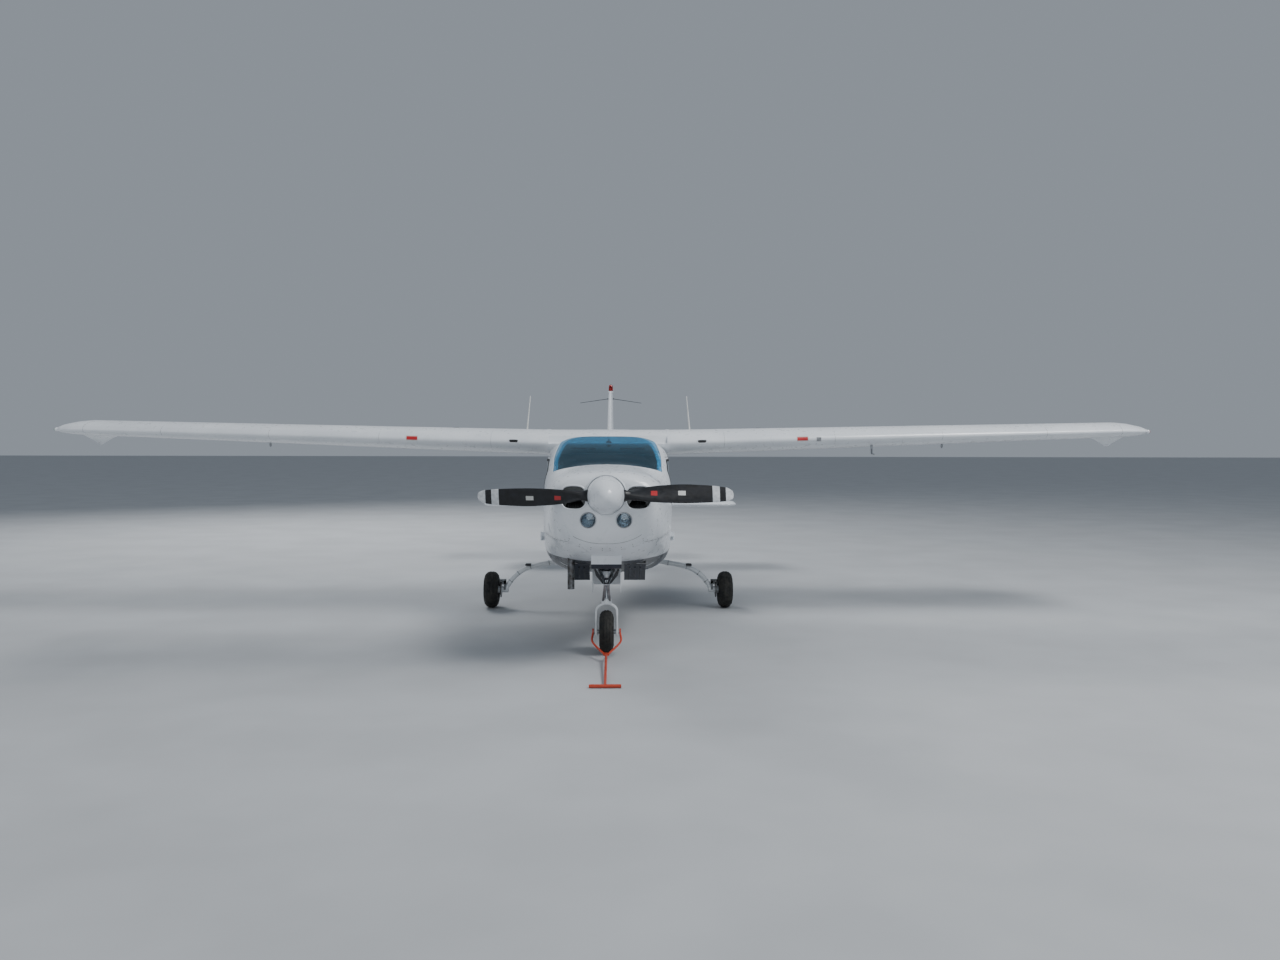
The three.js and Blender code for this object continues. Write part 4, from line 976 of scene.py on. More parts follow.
# Nose
INLET_ACROSS, INLET_HEIGHT = 255, 1344
INLET_WIDTH, INLET_TALL, INLET_CORNER = 204, 190, 84
LAMP_ACROSS, LAMP_HEIGHT, LAMP_RADIUS, LAMP_FRONT = 141, 1166, 57, 374
NOSE_WELL_HALF, NOSE_WELL_FRONT, NOSE_WELL_REAR = 122, 850, 1400
COWL_FLAP_INNER, COWL_FLAP_OUTER, COWL_FLAP_FRONT, COWL_FLAP_REAR = 150, 335, 1215, 1425
EXHAUST = dict(across=-305, station=1120, top=1049.7, bottom=522, radius=30)
CHIN = [(640, 872), (652, 856), (690, 751), (706, 742), (850, 742), (850, 900), (640, 900)]


def box_outline(width, tall, across, height):
    return rectangle(across - width / 2, height - tall / 2, across + width / 2, height + tall / 2)


def inlet_outline(side, grow=0.0):
    outline = box_outline(INLET_WIDTH + 2 * grow, INLET_TALL + 2 * grow, side * INLET_ACROSS, INLET_HEIGHT)
    return rounded(outline, INLET_CORNER + grow)


def front_surface():
    """Where a line aft from ahead of the nose meets the bowl."""
    shape = hull(COWL_FRONT, 700)
    tree = tree_of(shape)
    bpy.data.objects.remove(shape)

    def meet(across, height):
        start = Vector(placed((across, 0, height))[0])
        place, normal = tree.ray_cast(start, Vector(AFT))[:2]
        return measured(place), np.array(normal)
    return meet


def front_bead(meet, outline, radius, sides):
    """A bead laid on the bowl along an outline in the front view."""
    dense = smooth_line(np.vstack([outline, outline[:1]]), 4)[:-1]
    path, out = zip(*[meet(across, height) for across, height in dense])
    return swept(path, circle(radius, sides), up=out, closed=True)


def make_nose():
    """The nose bowl with rolled inlet lips, lamp bezels and the ring behind the spinner."""
    inner = loft(rings_between(COWL_FRONT, FIREWALL, COWL_WALL, 40, BOWL_WALL))
    bowl = without(hull(COWL_FRONT, COWL_SEAM - SEAM_GAP / 2), inner)
    for side in (-1, 1):
        without(bowl, prism(inlet_outline(side), COWL_FRONT - 40, COWL_FRONT + 75, "station"),
                along_rod(side * LAMP_ACROSS, LAMP_HEIGHT, 340, 470, LAMP_RADIUS + HIDDEN_GAP, 48))
    without(bowl, along_rod(0, PROP_HEIGHT, 340, 460, 60, 48))
    show(bowl, "nose_bowl_skin", fuselage_enamel, replaces=["nose_bowl"])
    meet = front_surface()
    for side, word in SIDES:
        show(front_bead(meet, inlet_outline(side, -2), 7, 12), f"inlet_lip_{word}", white_enamel)
        bezel = circle(LAMP_RADIUS + 3, 24, (side * LAMP_ACROSS, LAMP_HEIGHT))
        show(front_bead(meet, bezel, 5, 10), f"lamp_bezel_{word}", bright_steel)
        make_lamp(side, word)
    ring = [(152, 341), (156, 338), (161, 339), (164, 345), (166, 372), (150, 372), (150, 345)]
    show(turned(ring, (0, 0, PROP_HEIGHT), AFT, 96, joined_ends=True), "spinner_ring", fuselage_enamel)


def make_lamp(side, word):
    """A sealed-beam lamp: a domed glass lens, tinted grey as painted shade, over a bright dished reflector
    with its bulb shield.
    """
    centre = (side * LAMP_ACROSS, LAMP_FRONT, LAMP_HEIGHT)
    dish = [(0, 43), (16, 42), (34, 34), (48, 20), (55, 6), (56.5, 4),
            (56.5, 7), (50, 22), (36, 37), (17, 45), (0, 45.5)]
    lens = [(0, 0), (20, 0.7), (40, 2.6), (55, 5), (55, 7.5), (40, 5.4), (20, 3.6), (0, 3)]
    shield = [(0, 16), (9, 17), (13, 24), (9, 38), (0, 40)]
    show(turned(dish, centre, AFT, 64), f"lamp_reflector_{word}", chrome)
    show(turned(lens, centre, AFT, 64), f"landing_lamp_lens_{word}", shade_tinted_lamp_glass,
         replaces=[f"landing_lamp_{word}"])
    show(turned(shield, centre, AFT, 32), f"lamp_bulb_{word}", chrome)


SPINNER_RADIUS = 148


def make_spinner():
    """The spinner with a seat for each blade, its fixing screws and its back plate's edge."""
    knots = [(0, 0), (28, 6), (62, 30), (98, 80), (126, 145), (142, 215), (SPINNER_RADIUS, 290),
             (SPINNER_RADIUS, SPINNER_REAR)]
    outer = np.clip(smooth_line(knots, 6), 0, (SPINNER_RADIUS, SPINNER_REAR))
    shaft = (0, 0, PROP_HEIGHT)
    body = turned([*outer, (0, SPINNER_REAR)], shaft, AFT, 96)
    for side in (-1, 1):
        seat = [(side * reach, PROP_STATION, PROP_HEIGHT) for reach in (62, 200)]
        without(body, rod(*seat, 45, sides=48))
    without(body, turned(rectangle(147.2, 300, 150, 302), shaft, AFT, 96, True))
    show(body, "spinner_shell", white_enamel, "propeller", ["spinner"])
    head = [(4.5, 0), (4.2, 1.2), (2.5, 1.8), (0, 1.9)]
    screws = [turned(head, out * 147.6 + (0, 317, PROP_HEIGHT), out, 14) for out in spread(16, 0.5)]
    show(joined(*screws), "spinner_screws", bright_steel, "propeller")


# Blade sections: distance out, chord, thickness, pitch in degrees
BLADE_SECTIONS = np.array([
    [150, 88, 70, 60],
    [230, 120, 48, 48],
    [380, 158, 32, 38],
    [600, 165, 22, 28],
    [820, 140, 15, 22],
    [940, 112, 10, 19],
    [980, 70, 6, 18],
    [990, 30, 3, 18],
], float)
# A blade's camber and edge, and where along the chord it is mounted
BLADE_FOIL = (0.01, 0.01, 48)
BLADE_AXIS = 0.4


def blade_points(out, along, above, pitch):
    """Points of a blade section from their places along and above its chord."""
    tilt = math.radians(pitch)
    return np.stack([np.full(len(along), out),
                     PROP_STATION + along * math.sin(tilt) - above * math.cos(tilt),
                     PROP_HEIGHT + along * math.cos(tilt) + above * math.sin(tilt)], 1)


def blade_ring(out, chord, thickness, pitch):
    u, v = foil(thickness / chord, *BLADE_FOIL)
    return blade_points(out, (u - BLADE_AXIS) * chord, v * chord, pitch)


# Blank labels on a blade: name, from and to along it, from and to in shares of the chord, material
BLADE_LABELS = [
    ("blade_label_red", 348, 398, 0.32, 0.62, placard_red),
    ("blade_label_pale", 560, 618, 0.38, 0.62, pale_plastic),
]


def blade_label(start, end, low, high):
    """A thin blank foil on the front face of the blade."""
    shares = np.linspace(low, high, 8)
    rings = []
    for out in np.linspace(start, end, 6):
        chord, thickness, pitch = sampled(BLADE_SECTIONS, out)[1:]
        u, v = foil(thickness / chord, *BLADE_FOIL)
        u, v = u[v > 0], v[v > 0]
        order = np.argsort(u)
        along, rise = (shares - BLADE_AXIS) * chord, np.interp(shares, u[order], v[order]) * chord
        rings.append(np.vstack([blade_points(out, along, rise + 0.9, pitch),
                                blade_points(out, along[::-1], rise[::-1] - 1, pitch)]))
    return loft(rings)


def make_blades():
    """Two metal blades with clamp rings at their shanks; the right is the left turned half round."""
    out = np.concatenate([np.linspace(150, 940, 40), 940 + 50 * np.sin(np.linspace(0.12, math.pi / 2, 12))])
    columns = np.array(sampled(BLADE_SECTIONS, out)[1:])
    soft = np.array([np.convolve(np.pad(column, 3, mode="edge"), np.ones(7) / 7, "valid")
                     for column in columns])
    soft[:, -8:] = columns[:, -8:]
    shank = turned([(44, 62.3), (44, 130), (47, 134), (47, 150), (43, 156), (36, 190), (20, 196), (0, 196)],
                   (0, PROP_STATION, PROP_HEIGHT), ACROSS, 48)
    blade = combined(loft([blade_ring(*row) for row in zip(out, *soft)]), shank, "UNION")
    pieces = [(name, blade_label(*extent), material, "") for name, *extent, material in BLADE_LABELS]
    pieces.append(("propeller_blade", blade, blade_enamel, "blade"))
    shaft = Matrix.Translation((0, 0, PROP_HEIGHT / 1000))
    half_turn = shaft @ Matrix.Rotation(math.pi, 4, "Y") @ shaft.inverted()
    for name, piece, material, node in pieces:
        other = duplicate(piece)
        other.data.transform(half_turn)
        for word, made in (("left", piece), ("right", other)):
            show(made, f"{name}_{word}", material, "propeller", [f"{node}_{word}"] if node else [])


def make_cowl():
    """Upper and lower cowl halves with the chin fairing, cowl flaps and nose bay doors."""
    inner = rings_between(COWL_FRONT, FIREWALL + 20, COWL_WALL, 40, BOWL_WALL)
    shell = without(hull(COWL_SEAM + SEAM_GAP / 2, FIREWALL - HIDDEN_GAP), loft(inner))
    upper = without(duplicate(shell), block((-700, 400, 300), (700, 1600, COWL_SPLIT + SEAM_GAP / 2)))
    show(upper, "cowl_upper_skin", fuselage_enamel, replaces=["cowl_upper"])
    half = NOSE_WELL_HALF
    chin = without(slab(CHIN, [0, 8, 14, 14, 0, 0, 0], -half - 1, half + 1), loft(inner))
    outlet = [(EXHAUST["across"], EXHAUST["station"], height) for height in (600, 900)]
    lower = without(combined(shell, chin, "UNION"),
                    block((-700, 400, COWL_SPLIT - SEAM_GAP / 2), (700, 1600, 2000)),
                    block((-half, NOSE_WELL_FRONT, 400), (half, NOSE_WELL_REAR, 900)),
                    rod(*outlet, EXHAUST["radius"] + 8, sides=48))
    for side in (-1, 1):
        low, high = sorted((side * COWL_FLAP_INNER, side * COWL_FLAP_OUTER))
        without(lower, block((low, COWL_FLAP_FRONT, 400), (high, 1500, 850)))
    show(lower, "cowl_lower_skin", fuselage_enamel, replaces=["cowl_lower"])
    make_cowl_flaps()


def make_cowl_flaps():
    """A flap on each side of the lower cowl, with stiffening beads, a hinge and a push rod."""
    thickness, front, rear = 6, (COWL_FLAP_FRONT, 724), (COWL_FLAP_REAR, 560)
    lower_edge = np.array([(front[0] - 8, front[1]), rear])
    outline = [*lower_edge, *(lower_edge + (0, thickness))[::-1]]
    for side, word in SIDES:
        low, high = sorted((side * COWL_FLAP_INNER, side * COWL_FLAP_OUTER))
        beads = [rod((across, front[0] + 30, front[1] - 30), (across, rear[0] - 20, rear[1] + 18), 6)
                 for across in np.linspace(low, high, 5)[1:-1]]
        show(joined(prism(outline, low, high), *beads), f"cowl_flap_{word}", navy_enamel)
        hinge = rod(*[(across, front[0] - 4, front[1] + 8) for across in (low, high)], 5)
        middle = (low + high) / 2
        push = rod((middle, rear[0] - 40, rear[1] + 42), (middle, 1330, 860), 5)
        show(joined(hinge, push), f"cowl_flap_rod_{word}", bright_steel)
        edge = side * NOSE_WELL_HALF
        door = slab(rectangle(890, 520, 1390, 880), [26, 26, 0, 0], *sorted((edge, edge - side * 5)))
        show(door, f"nose_bay_door_{word}", gear_enamel)


# Laying things on the fuselage
def level_at(point):
    """1 on the fuselage skin, less inside it and more outside."""
    across, station, height = point
    half_width, widest, top, bottom, upper, lower = section_at(station)
    power, rise = (upper, top - widest) if height > widest else (lower, widest - bottom)
    return (abs(across) / half_width) ** power + (abs(height - widest) / rise) ** power


def hull_normal(point):
    slope = np.array([level_at(point + step) - level_at(point - step) for step in np.eye(3)])
    return slope / np.linalg.norm(slope)


def evenly(points, step, closed=True):
    """Points along a line, one every step."""
    points = np.array(points, float)
    if closed:
        points = np.vstack([points, points[:1]])
    lengths = np.concatenate([[0], np.cumsum(np.linalg.norm(np.diff(points, axis=0), axis=1))])
    places = np.linspace(0, lengths[-1], max(int(round(lengths[-1] / step)), 3), endpoint=not closed)
    return np.stack([np.interp(places, lengths, column) for column in points.T], 1)


def on_side(outline, step=14):
    """A side-view outline laid on the left skin."""
    return evenly([side_at(*place) for place in evenly(outline, 2)], step)


def normals_at(points):
    return np.array([hull_normal(point) for point in points])


def laid(path, section, closed=False):
    """A section carried along a line on the fuselage skin."""
    return swept(path, section, up=normals_at(path), closed=closed)


def button(station, height, profile, sides):
    """A profile turned about the way out of the left side."""
    place = side_at(station, height)
    return turned(profile, place, hull_normal(place), sides)


def studs(places, normals, radius=2.4, rise=0.45, sides=6):
    """A low dome at each place, all in one solid."""
    points, faces = [], []
    for place, normal in zip(places, normals):
        first, second, out = basis(normal)
        around = fan(first, second, sides)
        start = len(points)
        for size, lift in ((radius, -0.4), (radius, rise * 0.4), (radius * 0.55, rise)):
            points += list(place + size * around + lift * out)
        for row in (start, start + sides):
            faces += [[row + i, row + (i + 1) % sides, row + sides + (i + 1) % sides, row + sides + i]
                      for i in range(sides)]
        faces += [range(start + sides - 1, start - 1, -1), range(start + 2 * sides, start + 3 * sides)]
    return solid(points, faces)


def hull_ring_places(station, low, high, step):
    """Places round the left side of the fuselage between two heights."""
    path = [side_at(station, height) for height in np.linspace(low, high, 200)]
    return list(evenly(path, step, closed=False))


RIVET_PITCH = 34


def hull_panel(skin, outline, gap=SEAM_GAP / 2, low=-OUTSIDE):
    """The part of a skin within an outline in the side view, less gap all round."""
    return within(duplicate(skin), prism(inset(outline, gap), low, OUTSIDE))


def through(outline, gap=0.0, low=-OUTSIDE):
    """A cutter that takes out an outline in the side view and gap more."""
    return prism(inset(outline, -gap), low, OUTSIDE)


# Cabin
DOOR_HINGE = dict(across=614, station=1957, heights=(900, 1260), leaf=60)
BAGGAGE_HINGE = dict(across=598, station=3737, heights=(925, 1110), leaf=36)
LUG_RADIUS, LUG_LENGTH = 8, 40
WING_HOLE = rectangle(2240, 1655, 4400, 2200)
DOOR_HOLE = rounded(DOOR, [60, 60, 46, 50, 60])
DOOR_GLASS_HOLE = rounded(DOOR_WINDOW, [46, 46, 36, 60, 46])
REAR_GLASS_HOLE = rounded(REAR_WINDOW, [40, 60, 60, 60, 36])
BAGGAGE_HOLE = rounded(BAGGAGE_DOOR, 34)
# The side panes lie between these depths under the skin
PANE_DEPTHS = (9, 15)
WINDOW_STRIP = [(-11, -3), (11, -3), (11, 0.8), (7.48, 2.4), (-7.48, 2.4), (-11, 0.8)]


def hinge_lugs(hinge, fixed):
    """One knuckle of each hinge with its leaf: the upper stands on the body, the lower on the door."""
    made = []
    across, station = hinge["across"], hinge["station"]
    for height in hinge["heights"]:
        low = height if fixed else height - HIDDEN_GAP - LUG_LENGTH
        high = low + LUG_LENGTH
        made.append(rod((across, station, low), (across, station, high), LUG_RADIUS, sides=32, edge=1.2))
        if fixed:
            made.append(block((across - hinge["leaf"], station - 22, low), (across, station - 1, high)))
        else:
            made.append(block((across - hinge["leaf"], station + 9, low), (across - 2, station + 26, high)))
            made.append(block((across - 6, station, low), (across + 6, station + 22, high)))
    return made


def make_cabin():
    """The cabin skin, cut into panels along its real joints."""
    seam = SEAM_GAP / 2
    skin = hull_shell(CABIN_FRONT, CABIN_END - seam, CABIN_WALL, step=50)
    show(hull_panel(skin, BELLY), "belly_skin", fuselage_enamel, replaces=["belly"])
    show(hull_panel(skin, SCUTTLE), "scuttle_skin", fuselage_enamel, replaces=["scuttle"])
    glass = within(hull_shell(CABIN_FRONT, 2700, GLASS, step=30), through(WINDSCREEN, -seam))
    show(glass, "windscreen_pane", screen_acrylic, replaces=["windscreen"])
    half = without(duplicate(skin), through(BELLY, seam), through(SCUTTLE, seam), through(WINDSCREEN, seam),
                   through(WING_HOLE), through(REAR_GLASS_HOLE), through(DOOR_HOLE),
                   block((-OUTSIDE, 1400, 300), (0, 4400, 2200)))
    half = joined(half, *hinge_lugs(DOOR_HINGE, True))
    right = mirror_of(half)
    left = joined(without(half, through(BAGGAGE_HOLE, low=0)), *hinge_lugs(BAGGAGE_HINGE, True))
    show(left, "side_skin_left", fuselage_enamel, replaces=["side_left"])
    show(right, "side_skin_right", fuselage_enamel, replaces=["side_right"])
    door = hull_panel(skin, DOOR_HOLE, DOOR_GAP, 0)
    door = joined(without(door, through(DOOR_GLASS_HOLE)), *hinge_lugs(DOOR_HINGE, False))
    show_pair(door, "door_skin", fuselage_enamel, "door", ["door"])
    baggage = hull_panel(skin, BAGGAGE_HOLE, DOOR_GAP, 0)
    show(joined(baggage, *hinge_lugs(BAGGAGE_HINGE, False)), "baggage_door_skin", fuselage_enamel,
         "baggage_door", ["baggage_door"])
    pane = without(hull(2000, 4200, PANE_DEPTHS[0], 50), hull(1990, 4210, PANE_DEPTHS[1], 50))
    for name, hole, body in (("door_window", DOOR_GLASS_HOLE, "door"),
                             ("rear_window", REAR_GLASS_HOLE, "airframe")):
        show_pair(hull_panel(pane, hole, 0.5, 0), f"{name}_pane", tinted_acrylic, body, [name])
        show_pair(laid(on_side(inset(hole, -4)), WINDOW_STRIP, True), f"{name}_seal", seal_rubber, body)
    bpy.data.objects.remove(pane)
    make_roof(skin)


def make_roof(skin):
    """The roof panel and the wing's centre section that spans it."""
    shell = hull_panel(skin, ROOF)
    bpy.data.objects.remove(skin)
    centre = loft([wing_ring(dict(WING_ROOT, across=across)) for across in (-580, 580)])
    without(centre, block((-OUTSIDE, 2000, 1500), (OUTSIDE, 2457, 1660)))
    within(centre, prism(rectangle(2380, 1655.6, 4320, 2100), -OUTSIDE, OUTSIDE))
    roof = without(combined(shell, centre, "UNION"), through(WINDSCREEN, SEAM_GAP / 2))
    show(roof, "roof_skin", fuselage_enamel, replaces=["roof"])
    crest = wing_skin(580, 0.28)
    blade = blade_aerial(crest, 3.2, [(-6, 30, 0), (3, 30, 0), (36, 17, 10), (43, 9, 14)])
    show(blade, "roof_blade_aerial", pale_plastic)


def blade_aerial(foot, half_width, levels):
    """A flat-sided aerial through levels of (rise, half length, shift aft) from its foot."""
    return loft([np.array([(x * half_width, foot[1] + shift + y * reach, foot[2] + rise)
                           for x, y in circle(1, 20)]) for rise, reach, shift in levels])


# Tail
TAIL_LAPS = [4302, 4820, 5340, 5860, 6380, 6900, 7380]
LAP_STEP = 0.9
TORQUE_TUBE = 24
DORSAL = [(5450, 1380), (5450, 1491), (6640, 1649), (6740, 1500), (6740, 1200)]
FIN_SECTIONS = [(1000, 5912, 7915, 132), (2404, 7500, 8284, 62)]
FIN_CAP = [(2404, 7500, 8284, 62), (2450, 7556, 8306, 56), (2480, 7600, 8310, 40), (2492, 7660, 8290, 14)]
RUDDER_RADII, RUDDER_GAP, RUDDER_END_GAP, RUDDER_REACH = (58, 29), 9, 16, 900
BEACON_STATION = 8000
STABILATOR_SECTIONS = [(118, 7425, 8285, 78), (1690, 7440, 8285, 76), (1770, 7462, 8278, 60),
                       (1798, 7510, 8262, 30), (1805, 7560, 8240, 8)]
TAB_INNER, TAB_OUTER, TAB_STATION, TAB_RADIUS = 150, 1250, 8140, 11
TAIL_EDGE = 0.001


def make_tail_cone():
    """Riveted tail cone: each bay's skin laps under the one ahead of it."""
    rings = []
    for bay, (start, end) in enumerate(zip(TAIL_LAPS, [*TAIL_LAPS[1:], TAIL_CONE_END])):
        depth = LAP_STEP * (bay % 2)
        count = int((end - start) / 60) + 2
        rings += [fuselage_ring(station, depth) for station in np.linspace(start, end - 0.6, count)]
    cone = without(loft(rings), hull(CABIN_END - 20, 7560, TAIL_WALL, 60),
                   cross_rod(300, STABILATOR_STATION, STABILATOR_HEIGHT, TORQUE_TUBE + 1, 48))
    show(cone, "tail_cone_skin", fuselage_enamel, replaces=["tail_cone"])
    show(turned([(15, -4), (15, 3), (12, 9), (6, 13), (0, 14)], (0, TAIL_CONE_END, 908), AFT, 32),
         "tail_light_lens", clear_glass)
    places = []
    for station in TAIL_LAPS[1:]:
        for row in (-14, 10):
            top, bottom = section_at(station + row)[2:4]
            places += hull_ring_places(station + row, bottom + 4, top - 3, 30)
    for station in np.arange(4330, 7400, RIVET_PITCH):
        widest, top, bottom = section_at(station)[1:4]
        places += [side_at(station, widest + 0.3 * (top - widest)),
                   side_at(station, widest - 0.35 * (widest - bottom))]
    show_pair(studs(places, normals_at(places)), "tail_cone_rivets", white_enamel)


def upright_ring(height, leading, trailing, thickness):
    chord = trailing - leading
    u, v = foil(thickness / chord, 0, TAIL_EDGE, 56)
    return np.stack([v * chord, leading + u * chord, np.full(len(u), height)], 1)


def flat_ring(across, leading, trailing, thickness):
    ring = upright_ring(across, leading, trailing, thickness)
    return ring[:, ::-1] + (0, 0, STABILATOR_HEIGHT)


def smooth_rings(sections, ring, steps=5):
    """Rings through sections, whose columns run smoothly from one to the next."""
    return [ring(*row) for row in smooth_line(sections, steps)]


def fin_at(height):
    """Leading edge, trailing edge and thickness of the fin and rudder together."""
    share = (height - FIN_SECTIONS[0][0]) / (FIN_SECTIONS[1][0] - FIN_SECTIONS[0][0])
    return [low + share * (high - low) for low, high in zip(FIN_SECTIONS[0][1:], FIN_SECTIONS[1][1:])]


def fin_point(height, u):
    leading, trailing, thickness = fin_at(height)
    chord = trailing - leading
    return np.array([chord * half_thickness(u, thickness / chord), leading + u * chord, height])


def make_fin():
    """Fin with dorsal fillet, cap, beacon and navigation rods, and the rudder on its slanted hinge."""
    foot, head = np.array([0, *RUDDER_FOOT]), np.array([0, *RUDDER_HEAD])
    length = RUDDER_HEAD[1] - RUDDER_FOOT[1]

    def line(t):
        return foot + t * (head - foot)

    def body(start, end, extra):
        radii = np.interp((start, end), (0, 1), RUDDER_RADII) + extra
        return loft([hinge_ring(line(t), radius, RUDDER_REACH, spread=0.4, upright=True)
                     for t, radius in zip((start, end), radii)])

    whole = loft([upright_ring(*row) for row in FIN_SECTIONS])
    rudder = within(duplicate(whole), body(0, 1 - RUDDER_END_GAP / length, 0))
    show(rudder, "rudder_skin", white_enamel, "rudder", ["rudder"])
    cap = loft(smooth_rings(FIN_CAP, upright_ring))
    spine = rod((0, 5440, 1489.7), (0, 6660, 1651.7), 11, sides=32)
    dorsal = combined(prism(DORSAL, -11, 11), spine, "UNION")
    fin = combined(combined(whole, cap, "UNION"), dorsal, "UNION")
    cove = body(-0.2, (length + 4) / length, RUDDER_GAP)
    without(fin, hull(CABIN_END, TAIL_CONE_END, -HIDDEN_GAP, 60), cove)
    pin = rod(line(1 - (RUDDER_END_GAP - 3.6) / length), line(1.02), 9)
    show(joined(fin, pin), "fin_skin", white_enamel, replaces=["fin"])
    base = [(40, 2486), (40, 2498), (37, 2502), (0, 2502)]
    dome = [(31, 2502), (31.5, 2520), (30.5, 2552), (27, 2580), (20, 2594), (9, 2599.5), (0, 2600)]
    clamp = [(36, 2502), (36, 2507), (31, 2508), (31, 2502)]
    show(upright(base, BEACON_STATION), "beacon_base", white_enamel)
    show(upright(dome, BEACON_STATION), "beacon_glass", red_glass)
    show(upright(clamp, BEACON_STATION, joined_ends=True), "beacon_clamp", bright_steel)
    whisker = joined(rod((14, 7700, 2383), (450, 8020, 2330), 4.5, 3, edge=1),
                     turned([(14, -12), (13, 6), (8, 26), (0, 30)], (22, 7706, 2382), (0.8, 0.58, -0.1), 24))
    show_pair(whisker, "navigation_rod", black_enamel)
    edges = [(0, fin_at(height)[1], height) for height in (1640, 1960, 2260)]
    show(wicks_at(edges, (0, -16, 0), (0, 95, -8)), "rudder_wicks", black_plastic, "rudder")
    ring = turned(circle(4.5, 12, (18, 0)), (0, 7360, 790), ACROSS, 32, True)
    show(ring, "tail_tie_down_ring", bright_steel)
    places = [fin_point(height, u) for height in np.arange(1240, 2400, 32) for u in (0.16, 0.5)]
    places += [fin_point(height, u) for height in range(1300, 2341, 260)
               for u in np.arange(0.04, 0.55, 0.024)]
    show_pair(studs(places, [(1, 0.03, 0.02)] * len(places)), "fin_rivets", white_enamel)


def wicks_at(edges, start, end):
    """Static wicks that trail from places on an edge."""
    return joined(*[rod(np.add(edge, start), np.add(edge, end), 1.9, 1.2, sides=8) for edge in edges])


def make_stabilator():
    """The all-moving tailplane on its torque tube, with a trim tab along each half."""
    half = loft([flat_ring(*STABILATOR_SECTIONS[0]), *smooth_rings(STABILATOR_SECTIONS[1:], flat_ring, 6)])

    def tab_body(gap, radius):
        return loft([hinge_ring((across, TAB_STATION, STABILATOR_HEIGHT), radius, 400)
                     for across in (TAB_INNER + gap, TAB_OUTER - gap)])
    tab = within(duplicate(half), tab_body(MOVING_GAP, TAB_RADIUS))
    show_pair(tab, "trim_tab_skin", white_enamel, "trim_tabs", ["trim_tab"])
    without(half, tab_body(0, TAB_RADIUS + MOVING_GAP))
    pins = [rod((low, TAB_STATION, STABILATOR_HEIGHT), (high, TAB_STATION, STABILATOR_HEIGHT), 5)
            for low, high in ((TAB_INNER - 5, TAB_INNER + 5.3), (TAB_OUTER - 5.3, TAB_OUTER + 5))]
    left = joined(half, *pins)
    torque_tube = cross_rod(125, STABILATOR_STATION, STABILATOR_HEIGHT, TORQUE_TUBE, 48)
    whole = joined(mirror_of(left), left, torque_tube)
    show(whole, "stabilator_skin", white_enamel, "stabilator", ["stabilator"])
    places, normals = [], []
    leading, trailing, thickness = 7428, 8285, 78
    for across in (150, 420, 690, 960, 1230, 1500, 1680):
        for u in np.arange(0.05, 0.8, 0.035):
            rise = 860 * half_thickness(u, thickness / 860)
            for side in (-1, 1):
                places.append((across, leading + u * (trailing - leading), STABILATOR_HEIGHT + side * rise))
                normals.append((0, 0, side))
    show_pair(studs(np.array(places), normals), "stabilator_rivets", white_enamel, "stabilator")


# Wheels and gear
AXLE_RADIUS = 17
BRAKE_RADIUS, BRAKE_THICKNESS, BRAKE_INBOARD = 84, 8, 46
# Half a rim's width as a share of its tyre's, and the height of a tyre's foot above the rim
RIM_SHARE, TYRE_FOOT = 0.38, 14
RIM_FACE = MAIN_TYRE["width"] * RIM_SHARE
DISC_FACE = -RIM_FACE - BRAKE_INBOARD
GROOVE_WIDTH, GROOVE_DEPTH = 5, 4
TYRE_SIDES = 96


def tyre_profile(radius, width, rim):
    """The tyre's section with three grooves round its tread."""
    half = width / 2
    turns = np.linspace(0, math.pi, 61)
    across = -half * np.sign(np.cos(turns)) * np.abs(np.cos(turns)) ** 0.8
    foot = rim + TYRE_FOOT
    out = foot + (radius - foot) * np.sin(turns) ** 0.8
    across[30] = 0
    line = [(rim, -half * 0.72), *zip(out, across), (rim, half * 0.72)]
    profile = []
    for r, x in line:
        groove = min((-0.2 * width, 0, 0.2 * width), key=lambda place: abs(place - x))
        deep = r > radius - 30 and abs(x - groove) < GROOVE_WIDTH / 2
        profile.append((r - GROOVE_DEPTH if deep else r, x))
    return profile


def wheel_parts(centre, tyre):
    """A tyre, its sidewall beads, a dished wheel with round holes, and its tie bolts and valve."""
    centre = np.array(centre, float)
    made = turned(tyre_profile(**tyre), centre, ACROSS, TYRE_SIDES, joined_ends=True)
    beads = []
    for side in (-1, 1):
        for share in (0.35, 0.62):
            foot = tyre["rim"] + TYRE_FOOT
            radius = foot + (tyre["radius"] - foot) * share
            reach = tyre["width"] / 2 * (1 - share ** 2.9) ** 0.4
            ring = circle(1.6, 8, (radius, side * (reach - 0.6)))
            beads.append(turned(ring, centre, ACROSS, 72, joined_ends=True))
    half = tyre["width"] * RIM_SHARE
    edge = tyre["rim"] - 0.9
    bore = AXLE_RADIUS + 0.8
    face = [(bore, -half - 0.5), (34, -half), (40, -half + 10), (edge - 16, -half + 14),
            (edge - 9, -half + 3), (edge - 2, -half), (edge, -half + 2),
            (edge, half - 4), (edge - 2, half - 2), (edge - 8, half - 4), (edge - 15, half - 20),
            (46, half - 26), (38, half - 14), (34, half + 1.5), (bore, half + 2)]
    wheel = turned(face, centre, ACROSS, 64, joined_ends=True)
    holes = [rod(place - (100, 0, 0), place + (100, 0, 0), 8.5, sides=20)
             for place in centre + spread(6, 0.5, "across") * (edge + 34) / 2.05]
    without(wheel, *holes)
    bolts = [rod(place + (half - start, 0, 0), place + (half - end, 0, 0), radius, sides=sides)
             for place in centre + spread(6, 0, "across") * (edge + 30) / 2.05
             for start, end, radius, sides in ((27, 15, 6, 6), (15, 11, 3.4, 12))]
    stem = centre + np.array([half - 22, 0, edge - 20])
    bolts.append(rod(stem, stem + (24, 0, -3), 2.6, sides=12))
    return made, beads, wheel, bolts


